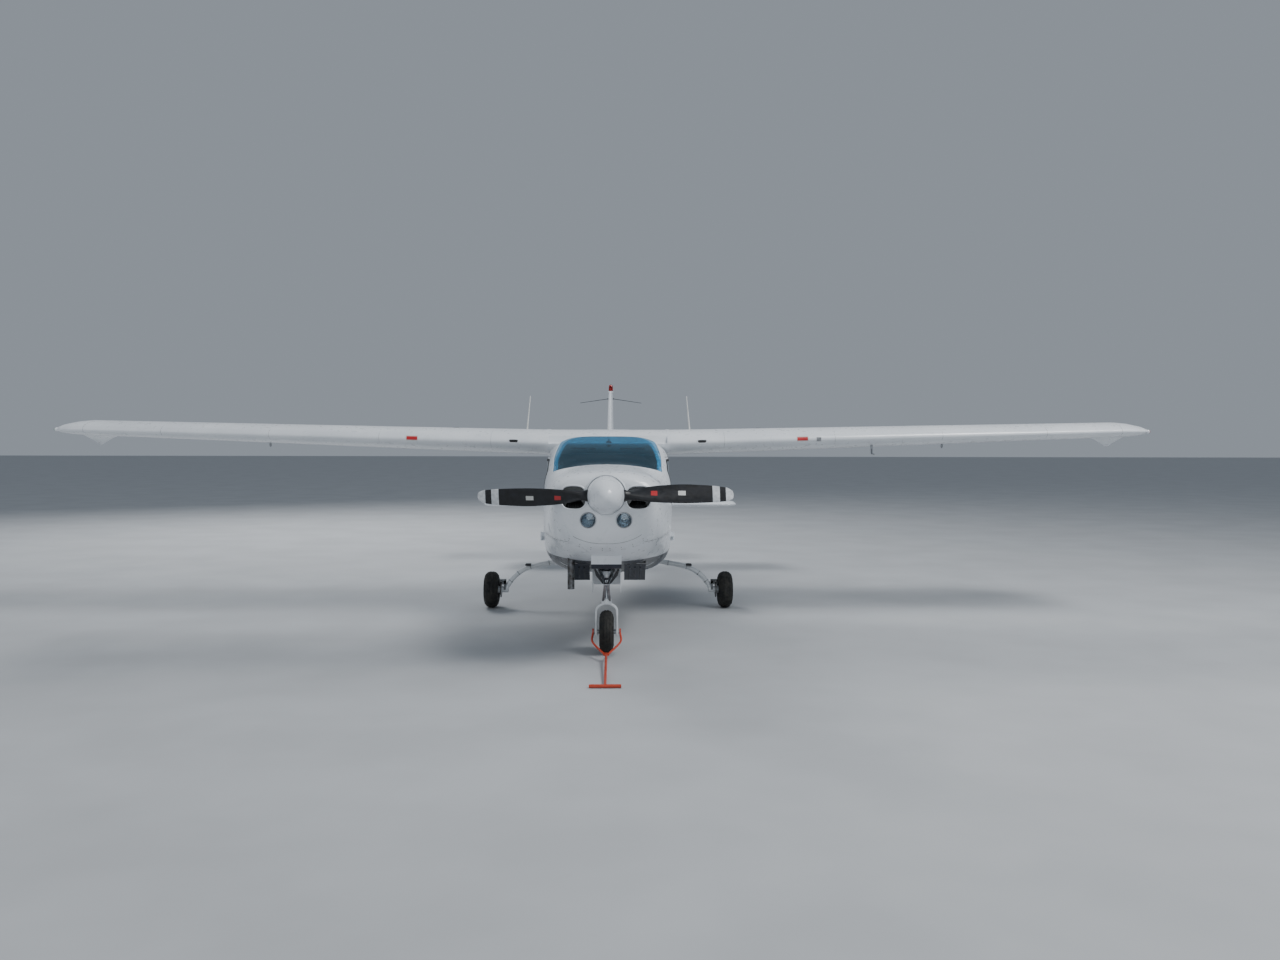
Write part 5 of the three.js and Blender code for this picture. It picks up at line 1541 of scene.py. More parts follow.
def make_wheels():
    """Both main wheels with their brake discs, and the nose wheel."""
    sleeve = rectangle(18, DISC_FACE, 38, -RIM_FACE + 12)
    disc = rectangle(39, DISC_FACE, BRAKE_RADIUS, DISC_FACE + BRAKE_THICKNESS)
    for word, axle, size, shown in (("main", MAIN_AXLE, MAIN_TYRE, show_pair),
                                    ("nose", NOSE_AXLE, NOSE_TYRE, show)):
        tyre, beads, wheel, bolts = wheel_parts(axle, size)
        body = f"{word}_wheel"
        if word == "main":
            wheel = joined(wheel, turned(sleeve, axle, ACROSS, 48, True))
            shown(turned(disc, axle, ACROSS, 72, True), "brake_disc", heat_and_shade_darkened_steel, body)
        shown(tyre, f"{word}_tyre_tread", rubber, body, [f"{word}_tyre"])
        shown(joined(*beads), f"{word}_tyre_beads", rubber, body)
        shown(wheel, f"{word}_wheel_hub", gear_enamel, body, [f"{word}_rim"])
        shown(joined(*bolts), f"{word}_wheel_bolts", bright_steel, body)


LEG_POINTS = [(340, 3600, 520), (590, 3585, 478), (840, 3550, 430), (990, 3525, 345), (1085, 3505, 225),
              (1092, 3500, 193)]
AXLE_INNER, AXLE_OUTER = MAIN_AXLE[0] + DISC_FACE - HIDDEN_GAP, MAIN_AXLE[0] + RIM_FACE


def make_legs():
    """Sprung tubular main legs with their pivot fairings, steps, axles, callipers and brake lines."""
    path = smooth_line(LEG_POINTS, 10)
    station, height = MAIN_AXLE[1:]
    leg = swept(path, circle(26, 32), up=(0, 1, 0.01))
    plan = rounded(rectangle(250, 3490, 430, 3710), 44)
    housing = loft([np.array([(*place, level) for place in inset(plan, narrow)])
                    for level, narrow in ((475, 20), (480, 8), (496, 0.01), (720, 0.01))])
    housing = without(housing, hull(3000, 4200, -HIDDEN_GAP, 100))
    hub = rod((1070, station, height), (AXLE_INNER, station, height), 33, sides=40, edge=2)
    axle = rod((1070, station, height), (AXLE_OUTER + 10, station, height), AXLE_RADIUS, sides=32)
    cap = turned([(24, 2.6), (24, 8), (20, 13), (0, 16)], (AXLE_OUTER, station, height), ACROSS, 40)
    show_pair(joined(leg, housing, hub), "main_leg_tube", gear_enamel, replaces=["main_leg"])
    show_pair(joined(axle, cap), "main_axle", bright_steel)
    low, high = height + 55, height + BRAKE_RADIUS + 22
    front, rear = station - 34, station + 34
    jaw = rounded(rectangle(front, low, rear, high), 9)
    pins = [rod((1118, station + shift, high - 13), (1137, station + shift, high - 13), 7, sides=6)
            for shift in (-22, 22)]
    # The jaws stand on both sides of the disc, which turns between 1143 and 1152 mm across
    calliper = joined(block((1096, front, height), (1118, rear, high)), *pins,
                      prism(jaw, 1096, 1137), prism(jaw, 1156.5, 1164),
                      block((1130, front, height + BRAKE_RADIUS + 6), (1164, rear, high)))
    show_pair(calliper, "brake_calliper", cast_metal)
    step_plate = slab(rectangle(830, 3480, 890, 3590), 10, 448, 462, "height")
    grips = [rod((836, 3490 + 14 * i, 462), (884, 3490 + 14 * i, 462), 2, sides=8) for i in range(7)]
    show_pair(joined(step_plate, *grips), "leg_step", black_enamel)
    line = path + (0, 29, 6)
    show_pair(tube(line[4:-8], 3.4, 10), "brake_line", black_plastic)
    clips = [turned(rectangle(27.5, -4, 29.5, 4), path[i], path[i + 1] - path[i - 1], 32, True)
             for i in (12, 20, 28, 35)]
    show_pair(joined(*clips), "brake_line_clips", bright_steel)


STRUT_RADIUS, STRUT_LOW, STRUT_HIGH, TRUNNION_HEIGHT = 38, 620, 990, 935
BACK_PLATE = dict(half_width=114, front=1043, low=571, high=790, bracket=724)
LINK_TIP = (868, 592)
FORK_HALF, FORK_SHOULDER, FORK_ARCH = 87.5, 352, 68.5


def make_nose_gear():
    """Oleo strut in its trunnion, navy as painted shade, with the door plate behind it bearing a navy V of
    painted shade, over the chromed piston and fork.
    """
    station = NOSE_AXLE[1]
    strut = upright([(36, STRUT_LOW), (STRUT_RADIUS, STRUT_LOW + 3), (STRUT_RADIUS, 636), (34.5, 640),
                     (34.5, 702), (STRUT_RADIUS, 706), (STRUT_RADIUS, STRUT_HIGH - 4), (34, STRUT_HIGH),
                     (0, STRUT_HIGH)], station)
    trunnion = cross_rod(95, station, TRUNNION_HEIGHT, 16, 32, edge=2)
    braces = [along_rod(across, TRUNNION_HEIGHT, station, FIREWALL - HIDDEN_GAP, 15, 24)
              for across in (-82, 82)]
    # The strut's navy is painted shade.
    show(joined(strut, trunnion, *braces), "nose_strut_body", strut_navy_as_painted_shade, replaces=["nose_strut"])
    wide, front, low = BACK_PLATE["half_width"], BACK_PLATE["front"], BACK_PLATE["low"]
    plate = slab(rectangle(-wide, low, wide, BACK_PLATE["high"]), 14, front, front + 5, "station")
    beads = [rod((side * 16, front, low + 13), (side * 100, front, low + 160), 7, sides=12)
             for side in (-1, 1)]
    bracket = along_rod(0, BACK_PLATE["bracket"], station, front + 3, 13, 24)
    show(joined(plate, bracket, *beads), "nose_door_plate", white_enamel)
    # A navy V sheet on the door plate: the shade inside the nose bay, painted.
    shield = slab([(-110, 786), (110, 786), (110, 706), (92, 645), (36, 577), (-36, 577), (-92, 645),
                   (-110, 706)], 12, front - 2, front - 0.3, "station")
    show(shield, "nose_door_painted_shade", navy_enamel)
    piston = rod((0, station, 462), (0, station, STRUT_LOW - HIDDEN_GAP), 26, sides=48)
    show(piston, "nose_piston", chrome, "nose_leg", ["nose_fork"])
    post = [(FORK_HALF, station, height) for height in (FORK_SHOULDER, 260, 154)]
    bend = [(-FORK_HALF * math.cos(t), station, FORK_SHOULDER + FORK_ARCH * math.sin(t))
            for t in np.linspace(0.15, math.pi - 0.15, 15)]
    arch = [*[(-across, *place) for across, *place in post[::-1]], *bend, *post]
    section = rounded(rectangle(-34, -9.5, 34, 9.5), 7)
    fork = swept(arch, section, up=[(p[0], 0, p[2] - 300 if p[2] > FORK_SHOULDER else 0) for p in arch])
    crown = upright([(44, 420), (44, 448), (40, 462), (27, 464), (0, 464)], station)
    height = NOSE_AXLE[2]
    lugs = [rod((side * 76, station, height), (side * 99, station, height), 27, sides=36, edge=2)
            for side in (-1, 1)]
    show(joined(fork, crown, *lugs), "nose_fork_arch", gear_enamel, "nose_leg")
    axle = cross_rod(122, station, height, AXLE_RADIUS, 32, edge=2)
    nuts = [within(rod((side * 122, station, height), (side * 99.5, station, height), 21, sides=6),
                   block((-106, station - 60, 100), (106, station + 60, 260))) for side in (-1, 1)]
    show(joined(axle, *nuts), "nose_axle", bright_steel, "nose_leg")
    ring = [(38.8, 640), (54, 640), (56, 643), (56, 697), (54, 700), (38.8, 700)]
    collar = upright(ring, station, joined_ends=True)
    links = []
    for apart, start, height in ((42, 945, 672), (28, 950, 446)):
        for side in (-1, 1):
            begin, tip = (side * apart, start, height), (side * 12, *LINK_TIP)
            links.append(swept(np.linspace(begin, tip, 4), rounded(rectangle(-11, -7, 11, 7), 4),
                               up=(0, 0.5, 1)))
    pin = cross_rod(24, *LINK_TIP, 14, 28, edge=2)
    rim_room = rod((0, station, 610), (0, station, 1000), 38.8, sides=48)
    links = without(joined(*links), rim_room)
    show(joined(collar, links, pin), "torque_links", bright_steel, "nose_leg")


TOW_HOOK, TOW_APEX, TOW_GRIP, TOW_GRIP_RADIUS = 112, (600, 60), -340, 14


def make_tow_bar():
    """Tow bar of bent tube: hooks over the axle's ends, two arms, a shaft and a ribbed cross grip."""
    station, height = NOSE_AXLE[1:]
    arms = []
    for side in (-1, 1):
        hook = turned(rectangle(17.6, -4, 26, 8), (side * TOW_HOOK, station, height), (side, 0, 0), 40, True)
        elbow = [(side * 115, station - 20, height - 11), (side * 115, 870, 110), (side * 14, *TOW_APEX)]
        arms += [hook, tube(smooth_line(elbow, 8), 9, 16)]
    plate = slab([(-26, 590), (26, 590), (14, 628), (-14, 628)], 6, 52, 70, "height")
    shaft = rod((0, TOW_APEX[0] + 14, TOW_APEX[1] + 2), (0, TOW_GRIP, TOW_GRIP_RADIUS + 1), 11, sides=24)
    show(joined(*arms, plate, shaft), "tow_bar_tube", red_enamel, "tow_bar", ["tow_bar"])
    ribs = [(13.8 - (1.6 if i % 2 else 0), -118 + 236 * i / 40) for i in range(41)]
    show(turned(ribs, (0, TOW_GRIP, TOW_GRIP_RADIUS + 1), ACROSS, 32), "tow_bar_grip", red_enamel, "tow_bar")


# Engine
ENGINE_FRONT, ENGINE_REAR, ENGINE_LOW = 640, 1300, 1050
CYLINDER_STATIONS = (745, 955, 1165)


def make_engine():
    """Flat six: crankcase, finned cylinders, valve covers, intake pipes, shaft and mount tubes."""
    case = slab([(-120, 1110), (120, 1110), (140, 1290), (60, 1400), (-60, 1400), (-140, 1290)], 30,
                ENGINE_FRONT, ENGINE_REAR, "station")
    sump = slab([(-90, ENGINE_LOW), (90, ENGINE_LOW), (110, 1125), (-110, 1125)], 24, 760, 1260, "station")
    shaft = along_rod(0, PROP_HEIGHT, SPINNER_REAR + HIDDEN_GAP, ENGINE_FRONT + 20, 45, 40)
    snout = turned([(70, 560), (95, 600), (110, 645), (0, 645)], (0, 0, PROP_HEIGHT - 40), AFT, 40)
    mounts = [along_rod(across, height, ENGINE_REAR - 20, FIREWALL - HIDDEN_GAP, 14, 20)
              for across in (-250, 250) for height in (1120, 1400)]
    arms = [rod((side * 120, ENGINE_REAR - 30, low), (side * 250, ENGINE_REAR - 10, high), 12, sides=16)
            for side in (-1, 1) for low, high in ((1150, 1120), (1330, 1400))]
    show(joined(case, sump, shaft, snout, *mounts, *arms), "engine_case", cast_metal,
         replaces=["engine_block"])
    profile = [(62, 120)]
    for i in range(14):
        start, fin = 128 + i * 13.5, 88 if i > 3 else 80
        profile += [(62, start), (fin, start + 1), (fin, start + 3.5), (62, start + 4.5)]
    profile += [(62, 318), (0, 318)]
    cylinders, covers, pipes = [], [], []
    for station in CYLINDER_STATIONS:
        cylinders.append(turned(profile, (0, station, 1235), ACROSS, 40))
        covers.append(slab(rectangle(station - 66, 1190, station + 66, 1290), 22, 316, 348))
        intake = [(60, station + 20, 1390), (190, station + 25, 1420), (270, station + 20, 1330)]
        outlet = [(255, station - 20, 1180), (285, station, 1110), (305, 1120, 1085)]
        pipes += [tube(smooth_line(intake, 6), 21, 20), tube(smooth_line(outlet, 6), 22, 20)]
    show_pair(joined(*cylinders), "engine_cylinders", cast_metal)
    show_pair(joined(*covers), "valve_covers", black_enamel)
    show_pair(joined(*pipes), "intake_pipes", heat_and_shade_darkened_steel)
    baffle = slab([(130, 1110), (345, 1110), (345, 1435), (200, 1440), (130, 1400)], 20, 646, 650, "station")
    without(baffle, along_rod(255, 1250, 600, 700, 74, 40))
    show_pair(baffle, "engine_baffle", zinc_sheet)


def make_exhaust():
    """The exhaust stack under the cowl."""
    across, station, radius = EXHAUST["across"], EXHAUST["station"], EXHAUST["radius"]
    pipe = turned([(radius, EXHAUST["bottom"]), (radius, EXHAUST["top"]), (radius - 2.5, EXHAUST["top"]),
                   (radius - 2.5, EXHAUST["bottom"])], (across, station, 0), UP, 48, joined_ends=True)
    show(pipe, "exhaust_stack", heat_and_shade_darkened_steel, replaces=["exhaust_pipe"])


# Seats
CLOTH_PRESSURE, CLOTH_FRAMES = 4.0, 20


def swelled(piece, voxel, cap):
    """The piece remeshed and blown up like a stuffed cover, with no point moving more than cap."""
    remesh = piece.modifiers.new("remesh", "REMESH")
    remesh.mode, remesh.voxel_size = "VOXEL", voxel / 1000
    applied(piece)
    cloth = piece.modifiers.new("cloth", "CLOTH")
    cloth.settings.use_pressure = True
    cloth.settings.uniform_pressure_force = CLOTH_PRESSURE
    cloth.settings.effector_weights.gravity = 0
    start = read(piece.data.vertices, "co")
    for step in range(1, CLOTH_FRAMES + 1):
        bpy.context.scene.frame_set(step)
    graph = bpy.context.evaluated_depsgraph_get()
    moved = read(piece.evaluated_get(graph).data.vertices, "co") - start
    piece.modifiers.clear()
    bpy.context.scene.frame_set(1)
    far = np.linalg.norm(moved, axis=1)
    share = np.minimum(1, cap / 1000 / np.maximum(far, 1e-9))
    piece.data.vertices.foreach_set("co", (start + moved * share[:, None]).ravel())
    smooth = piece.modifiers.new("smooth", "SUBSURF")
    smooth.levels = smooth.render_levels = 1
    return applied(piece)


CHANNEL_DEPTH, CHANNEL_WIDTH, CORD_RADIUS = 9, 11, 3.4


def sewn_channels(piece, places, facing):
    """Pulls the cover in along lines of stitching at places across, where it faces a way."""
    vertices = piece.data.vertices
    points, normals = read(vertices, "co"), read(vertices, "normal")
    toward = np.clip(normals @ (np.array(facing) / np.linalg.norm(facing)) * 2 - 0.6, 0, 1)
    for place in places:
        dip = CHANNEL_DEPTH / 1000 * np.exp(-((points[:, 0] * 1000 - place) / CHANNEL_WIDTH) ** 2) * toward
        points = points - normals * dip[:, None]
    vertices.foreach_set("co", points.ravel())


def piping(piece, outline, places):
    """A corded seam round the outline at each place across, laid on the cover."""
    tree = tree_of(piece)
    cords = []
    for across in places:
        route = np.array([measured(tree.find_nearest(Vector(placed((across, *place))[0]))[0])
                          for place in evenly(outline, 14)])
        route = (np.roll(route, 1, 0) + route * 2 + np.roll(route, -1, 0)) / 4
        cords.append(tube(route, CORD_RADIUS, 8, closed=True))
    return joined(*cords)


def make_cushion(outline, low, high, facing, channels, voxel, inward=11, cap=10):
    """A stuffed cushion inside an outline and its piping: both as unnamed solids."""
    rim = rounded(inset(outline, inward), 34)
    cushion = prism(rim, low + inward, high - inward)
    swelled(cushion, voxel, cap)
    cords = piping(cushion, rim, (low + inward + 8, high - inward - 8))
    sewn_channels(cushion, channels, facing)
    return cushion, cords


SEAT_PAD = [(2322, 905), (2742, 905), (2742, 1036), (2560, 1052), (2322, 1066)]
SEAT_BACK = [(2700, 1060), (2775, 912), (2803, 912), (2932, 1497), (2832, 1527)]
SEAT_ACROSS = (58, 497)
BENCH_PAD = [(3172, 895), (3590, 895), (3590, 1008), (3400, 1024), (3172, 1037)]
BENCH_BACK = [(3556, 1032), (3620, 900), (3645, 900), (3787, 1437), (3692, 1467)]
BENCH_ACROSS = (-497, 497)


def show_cushions(name, shown, node, outlines, reach, channels, voxel):
    """The pad and the back of a seat with their piping, shown alone or as a pair."""
    for part, outline, facing in zip(("pad", "back"), outlines, ((0, -0.2, 1), (0, -1, 0.3))):
        cushion, cords = make_cushion(outline, *reach, facing, channels, voxel)
        shown(cushion, f"{name}_{part}", seat_cloth, replaces=[node] if part == "pad" else [])
        shown(cords, f"{name}_{part}_piping", piping_vinyl)


def make_seats():
    """Two front seats on rails and a rear bench, each a stuffed pad and back with corded seams."""
    low, high = SEAT_ACROSS
    channels = np.linspace(low, high, 6)[1:-1]
    show_cushions("seat", show_pair, "front_seat", (SEAT_PAD, SEAT_BACK), SEAT_ACROSS, channels, 9)
    legs = [rod((across, station, FLOOR_TOP + 16), (across, station + 14, 892), 11, sides=16)
            for across in (122, 383) for station in (2396, 2706)]
    rails = [block((across - 13, 2250, FLOOR_TOP + 0.3), (across + 13, 2960, FLOOR_TOP + 16))
             for across in (122, 383)]
    pan = slab(rectangle(2336, 890, 2770, 904), 4, low + 20, high - 20)
    bars = [rod((122, station, 700), (383, station, 700), 8, sides=14) for station in (2400, 2712)]
    show_pair(joined(*legs, *rails, pan, *bars), "seat_frame", grey_plastic)
    half = np.linspace(0, BENCH_ACROSS[1], 6)[1:-1]
    show_cushions("bench", show, "rear_bench", (BENCH_PAD, BENCH_BACK), BENCH_ACROSS, [*-half, 0, *half], 13)
    foot = FLOOR_TOP + 0.3
    box = slab([(3240, foot), (3600, foot), (3600, 894), (3210, 894)], [0, 0, 6, 30], -370, 370)
    show(box, "bench_box", trim_vinyl)


# Cabin fittings
PANEL_STATION, PANEL_DEPTH, PANEL_LOW, PANEL_HIGH, PANEL_HALF = 1985, 30, 1090, 1478, 490
PANEL_FACE = PANEL_STATION + PANEL_DEPTH
YOKE_ACROSS, YOKE_HEIGHT, YOKE_REACH = 290, 1290, 190
# Across, height and radius of each round dial
DIALS = [(across, height, 39) for height in (1400, 1308) for across in (385, 290, 195)]
DIALS += [(across, height, 24) for height in (1405, 1345) for across in (-150, -215, -280)]
RADIO_HEIGHTS = [1432, 1388, 1344, 1296, 1252]


def make_dial(across, height, radius, turn):
    """A dial's black face, its white hand and marks, and its rim."""
    centre = np.array([across, PANEL_FACE, height])
    rim = turned([(radius - 3, -1), (radius + 2, -1), (radius + 2, 5), (radius, 7), (radius - 3, 6)],
                 centre, AFT, 40, True)
    plate = turned([(radius - 3, -1), (radius - 3, 1.5), (0, 1.5)], centre, AFT, 40)
    base, pivot = centre + (0, 2, 0), centre + (0, 2.6, 0)
    marks = [rod(base + way * (radius - 10), base + way * (radius - 5), 0.7, sides=6) for way in spread(12)]
    way = np.array([math.cos(turn), 0, math.sin(turn)])
    marks.append(rod(pivot - way * radius * 0.15, pivot + way * radius * 0.72, 1.3, 0.5, sides=8))
    return rim, plate, joined(*marks)


def make_panel():
    """Instrument panel with dials, blank radios, knobs, glare shield and two control yokes."""
    room = hull(1600, 2300, CABIN_WALL + HIDDEN_GAP, 60)
    plate = block((-PANEL_HALF, PANEL_STATION, PANEL_LOW), (PANEL_HALF, PANEL_FACE, PANEL_HIGH))
    plate = within(duplicate(room), plate)
    bracket = joined(within(duplicate(room), block((450, 1885, 1180), (700, 1928, 1420))),
                     block((450, 1885, 1180), (488, PANEL_STATION + 5, 1420)))
    show(joined(plate, bracket, mirror_of(bracket)), "panel_plate", black_enamel,
         replaces=["instrument_panel"])
    hood = [(1700, 1462), (2040, 1462), (2052, 1474), (2040, 1488), (1700, 1480)]
    show(within(room, slab(hood, 5, -700, 700)), "glare_shield", dark_vinyl)
    rims, plates, marks = zip(*[make_dial(*dial, 0.9 + 1.7 * i) for i, dial in enumerate(DIALS)])
    show(joined(*rims), "dial_rims", black_plastic)
    show(joined(*plates), "dial_faces", black_enamel)
    show(joined(*marks), "dial_marks", dial_white)
    face, radios, screens, knobs = PANEL_FACE, [], [], []
    for height in RADIO_HEIGHTS:
        radios.append(slab(rectangle(-78, height - 18, 78, height + 18), 3, face, face + 9, "station"))
        screens.append(prism(rectangle(-44, height - 9, 44, height + 9), face + 9, face + 10, "station"))
        knobs += [rod((across, face + 8, height), (across, face + 22, height), 8, sides=20, edge=1.5)
                  for across in (-64, 64)]
    show(joined(*radios), "radio_fronts", black_plastic)
    show(joined(*screens), "radio_windows", grey_plastic)
    for across in (-60, 0, 60):
        knobs += [along_rod(across, 1160, face, face + 60, 5, 14),
                  turned([(0, 58), (17, 60), (19, 70), (15, 80), (0, 82)], (across, face, 1160), AFT, 28)]
    knobs += [rod((across, face, 1150), (across, face + 10, 1158), 4, sides=10)
              for across in range(130, 339, 26)]
    show(joined(*knobs), "panel_knobs", black_plastic)
    rim_half = [(0, -10), (96, -8), (132, 18), (140, 70), (134, 104)]
    rim_line = [*[(-x, z) for x, z in rim_half[:0:-1]], *rim_half]
    station = PANEL_STATION + YOKE_REACH
    for side, word in SIDES:
        centre, middle = side * YOKE_ACROSS, YOKE_HEIGHT
        rim = tube(smooth_line([(centre + x, station, middle + z) for x, z in rim_line], 5), 11, 16)
        hub = slab([(centre - 44, middle - 24), (centre + 44, middle - 24), (centre + 34, middle + 22),
                    (centre - 34, middle + 22)], 10, station - 14, station + 11, "station")
        show(joined(rim, hub), f"yoke_{word}", black_plastic)
        column = along_rod(centre, middle, PANEL_STATION + 5, station, 11, 24)
        show(column, f"yoke_column_{word}", bright_steel)
    pedals = [slab(rectangle(centre - 42, 700, centre + 42, 820), 10, 1760, 1768, "station")
              for centre in (-332, -208, 208, 332)]
    show(joined(*pedals), "rudder_pedals", zinc_sheet)


def make_trim():
    """Floor with carpet, bulkheads, side trim, headlining, visors, compass and door trim."""
    room = hull(CABIN_FRONT - 20, CABIN_END + 20, CABIN_WALL + HIDDEN_GAP, 60)
    floor = block((-OUTSIDE, CABIN_FRONT + 5, FLOOR_TOP - 15), (OUTSIDE, CABIN_END - 40, FLOOR_TOP))
    show(within(duplicate(room), floor), "floor_carpet", carpet, replaces=["cabin_floor"])
    bulkhead = block((-OUTSIDE, CABIN_END - 30, 500), (OUTSIDE, CABIN_END - 18, 2000))
    show(within(room, bulkhead), "rear_bulkhead", trim_vinyl, replaces=["aft_bulkhead"])
    show(hull(FIREWALL, FIREWALL + 12), "firewall_sheet", zinc_sheet, replaces=["firewall"])
    lining = hull_shell(2030, CABIN_END - 32, 4, 60, CABIN_WALL + 1)
    door_part = without(hull_panel(lining, DOOR_HOLE, DOOR_GAP + 12, 0), through(inset(DOOR_GLASS_HOLE, -9)))
    rest = within(hull_shell(2300, 2900, 50, 60, CABIN_WALL + 4),
                  slab(rectangle(2500, 1040, 2860, 1072), 12, 0, OUTSIDE))
    grip = [(2560, 40), (2590, 62), (2680, 62), (2710, 40)]
    pull = tube(smooth_line([side_at(station, 1000, depth) for station, depth in grip], 6), 6, 12)
    show_pair(door_part, "door_lining", trim_vinyl, "door")
    show_pair(joined(rest, pull), "door_armrest", dark_vinyl, "door")
    without(lining, through(inset(DOOR_HOLE, 12)), through(inset(REAR_GLASS_HOLE, -9)), through(ROOF, 2),
            through(WINDSCREEN, 12), block((-OUTSIDE, 1400, 400), (OUTSIDE, 4400, FLOOR_TOP + 2)))
    without(lining, through(inset(BAGGAGE_HOLE, 4), low=0), block((-60, 2000, 1300), (60, 4400, 2000)))
    show(lining, "side_lining", trim_vinyl)
    ceiling = slab([(-520, 2470), (520, 2470), (500, 4240), (-500, 4240)], 60, 1643, 1654, "height")
    show(within(ceiling, hull(2400, 4280, CABIN_WALL + 1, 60)), "headlining", trim_vinyl)
    bowl = rod((8, 2392, 1752), (8, 2414, 1752), 30, sides=32, edge=6)
    show(joined(bowl, block((2, 2398, 1775), (14, 2408, 1800))), "compass", black_plastic)
    visor = slab(rectangle(110, 1700, 370, 1776), 24, 2425, 2433, "station")
    show_pair(within(visor, hull(2300, 2500, 24, 60)), "sun_visor", dark_vinyl)


# Small things on the skin
def wing_patch(low, high, start, end, lift=0.8, rows=10):
    """A thin plate bent over the wing's skin. start and end are chord shares, negative underneath."""
    roots = np.linspace(math.copysign(abs(start) ** 0.5, start), math.copysign(abs(end) ** 0.5, end), rows)
    rings = []
    for across in (low, high):
        line = np.array([wing_skin(across, root * root, root > 0) for root in roots])
        ahead = np.gradient(line[:, 1:], axis=0)
        normal = np.stack([np.zeros(rows), ahead[:, 1], -ahead[:, 0]], 1)
        normal /= np.linalg.norm(normal, axis=1)[:, None]
        if normal[-1, 2] < 0 < end or (end < 0 and normal[-1, 2] > 0):
            normal = -normal
        rings.append(np.vstack([line + normal * lift, (line - normal * 2)[::-1]]))
    return loft(rings)


RIB_PLACES = [640, 860, *range(1130, 2751, 270), *range(3010, 4831, 260), 5060]
SPAR_SHARES = (0.1, 0.27, 0.66)
WING_RIVET_PITCH = 36


def tip_lamp(outward_step, size):
    """A lamp's bulb or its fairing, streamlined, on the wing tip's leading edge."""
    ring = tip_ring(*sampled(TIP_SECTIONS, outward_step))
    nose = ring[len(ring) // 2]
    profile = [(0.5, -8), (16 * size, 0), (19 * size, 18), (17 * size, 40), (11 * size, 66), (0, 86)]
    return turned(profile, nose + (0, -4, 0), (0.25, 0.97, 0), 32)


def rivet_wings():
    """Lines of rivets along the ribs and spars, on both skins."""
    def row(spans, shares, upper):
        for across in spans:
            for u in shares:
                places.append(wing_skin(across, u, upper))
                normals.append((0, -0.35 * (0.3 - u), 1 if upper else -1))

    places, normals = [], []
    for upper in (True, False):
        for across in RIB_PLACES:
            limit = (FLAP_HINGE if across < FLAP_SPAN[1] else AILERON_HINGE) - 0.04
            row([across], np.arange(0.03, limit, WING_RIVET_PITCH / wing_at(across)["chord"]), upper)
        row(np.arange(650, 5080, WING_RIVET_PITCH), SPAR_SHARES, upper)
    show_pair(studs(places, normals), "wing_rivets", white_enamel)


# Thin plates bent over the wing: name, from and to across, from and to in chord shares, lift, material
WING_PLATES = [
    ("leading_edge_placard", 1832, 1948, -0.0035, 0.011, 0.8, pale_plastic),
    ("placard_print", 1838, 1942, -0.0012, 0.005, 1.3, placard_red),
    # The air inlet is a black plate on the skin: the dark of its opening as painted shade.
    ("wing_air_inlet", 868, 953, -0.0008, 0.0028, 0.9, black_plastic),
]


def make_wing_details():
    """Rivets, grey lines of painted shadow at the skin joints, fuel caps, inspection covers, placards, inlets
    with a black plate of painted shade in each opening, lamps, probes and wicks on the wings.
    """
    rivet_wings()
    # Thin grey strips at the skin joints are painted shadow in the seams.
    shadow_lines = [wing_patch(across - 0.8, across + 0.8, -0.66, 0.66, 0.3, 70)
             for across in (1130, 2210, 3270, 4310, 5060)]
    show_pair(joined(*shadow_lines), "wing_seam_shadow_lines", grey_plastic)
    cover = [(62, -1), (62, 0.9), (60, 1.3), (0, 1.3)]
    covers = [turned(cover, wing_skin(across, 0.5, False), (0, 0.02, -1), 40)
              for across in (1265, 1800, 2340, 2880, 3400, 3920, 4440)]
    show_pair(joined(*covers), "wing_inspection_covers", white_enamel)
    place = wing_skin(1530, 0.33)
    handle = slab(box_outline(64, 15, *place[:2]), 6, place[2] + 3, place[2] + 9, "height")
    cap = turned([(46, -2), (46, 2), (42, 4), (0, 4)], place, (0, 0.03, 1), 48)
    show_pair(joined(cap, handle), "fuel_cap", bright_steel)
    for name, *extent, material in WING_PLATES:
        show_pair(wing_patch(*extent), name, material)
    above = [(866, 0.0003), (866, 0.0016), (876, 0.003), (910, 0.0034), (945, 0.003), (955, 0.0016),
             (955, 0.0003)]
    below = [(945, 0.0009), (910, 0.0012), (876, 0.0009)]
    lip = [wing_skin(*place) for place in above] + [wing_skin(*place, False) for place in below]
    lip = smooth_line(np.array([*lip, lip[0]]) + (0, -1.5, 0), 3)[:-1]
    show_pair(tube(lip, 3, 8, closed=True), "wing_inlet_lip", white_enamel)
    show_pair(tip_lamp(250, 1), "tip_lamp_base", white_enamel)
    lamp = tip_lamp(262, 0.86)
    show(mirror_of(lamp), "tip_lamp_right", green_glass)
    show(lamp, "tip_lamp_left", red_glass)
    pitot_root = wing_skin(2600, 0.1, False)
    pitot = joined(rod(pitot_root + (0, 6, 6), pitot_root + (0, -10, -92), 11, 8, sides=20),
                   rod(pitot_root + (0, -4, -88), pitot_root + (0, -150, -94), 7.5, 5, sides=20, edge=1.5))
    show(pitot, "pitot_tube", bright_steel)
    vane = wing_skin(2050, 0.0001)
    plate = block(vane + (-22, -1.5, -26), vane + (22, 4, 14))
    show(joined(plate, block(vane + (-9, -20, -8), vane + (9, 0, -6.4))), "stall_vane", bright_steel)
    edges = [wing_skin(across, 0.998) for across in (3500, 4100, 4700)]
    show_pair(wicks_at(edges, (0, -16, 1), (0, 105, -6)), "aileron_wicks", black_plastic, "aileron")
    band = loft([wing_ring(dict(wing_at(across), thickness=0.1545)) for across in (574, 604)])
    without(band, hull(2200, 4200, -0.5, 100), block((560, 3400, 1500), (660, 4300, 2100)))
    show_pair(band, "wing_root_band", white_enamel)


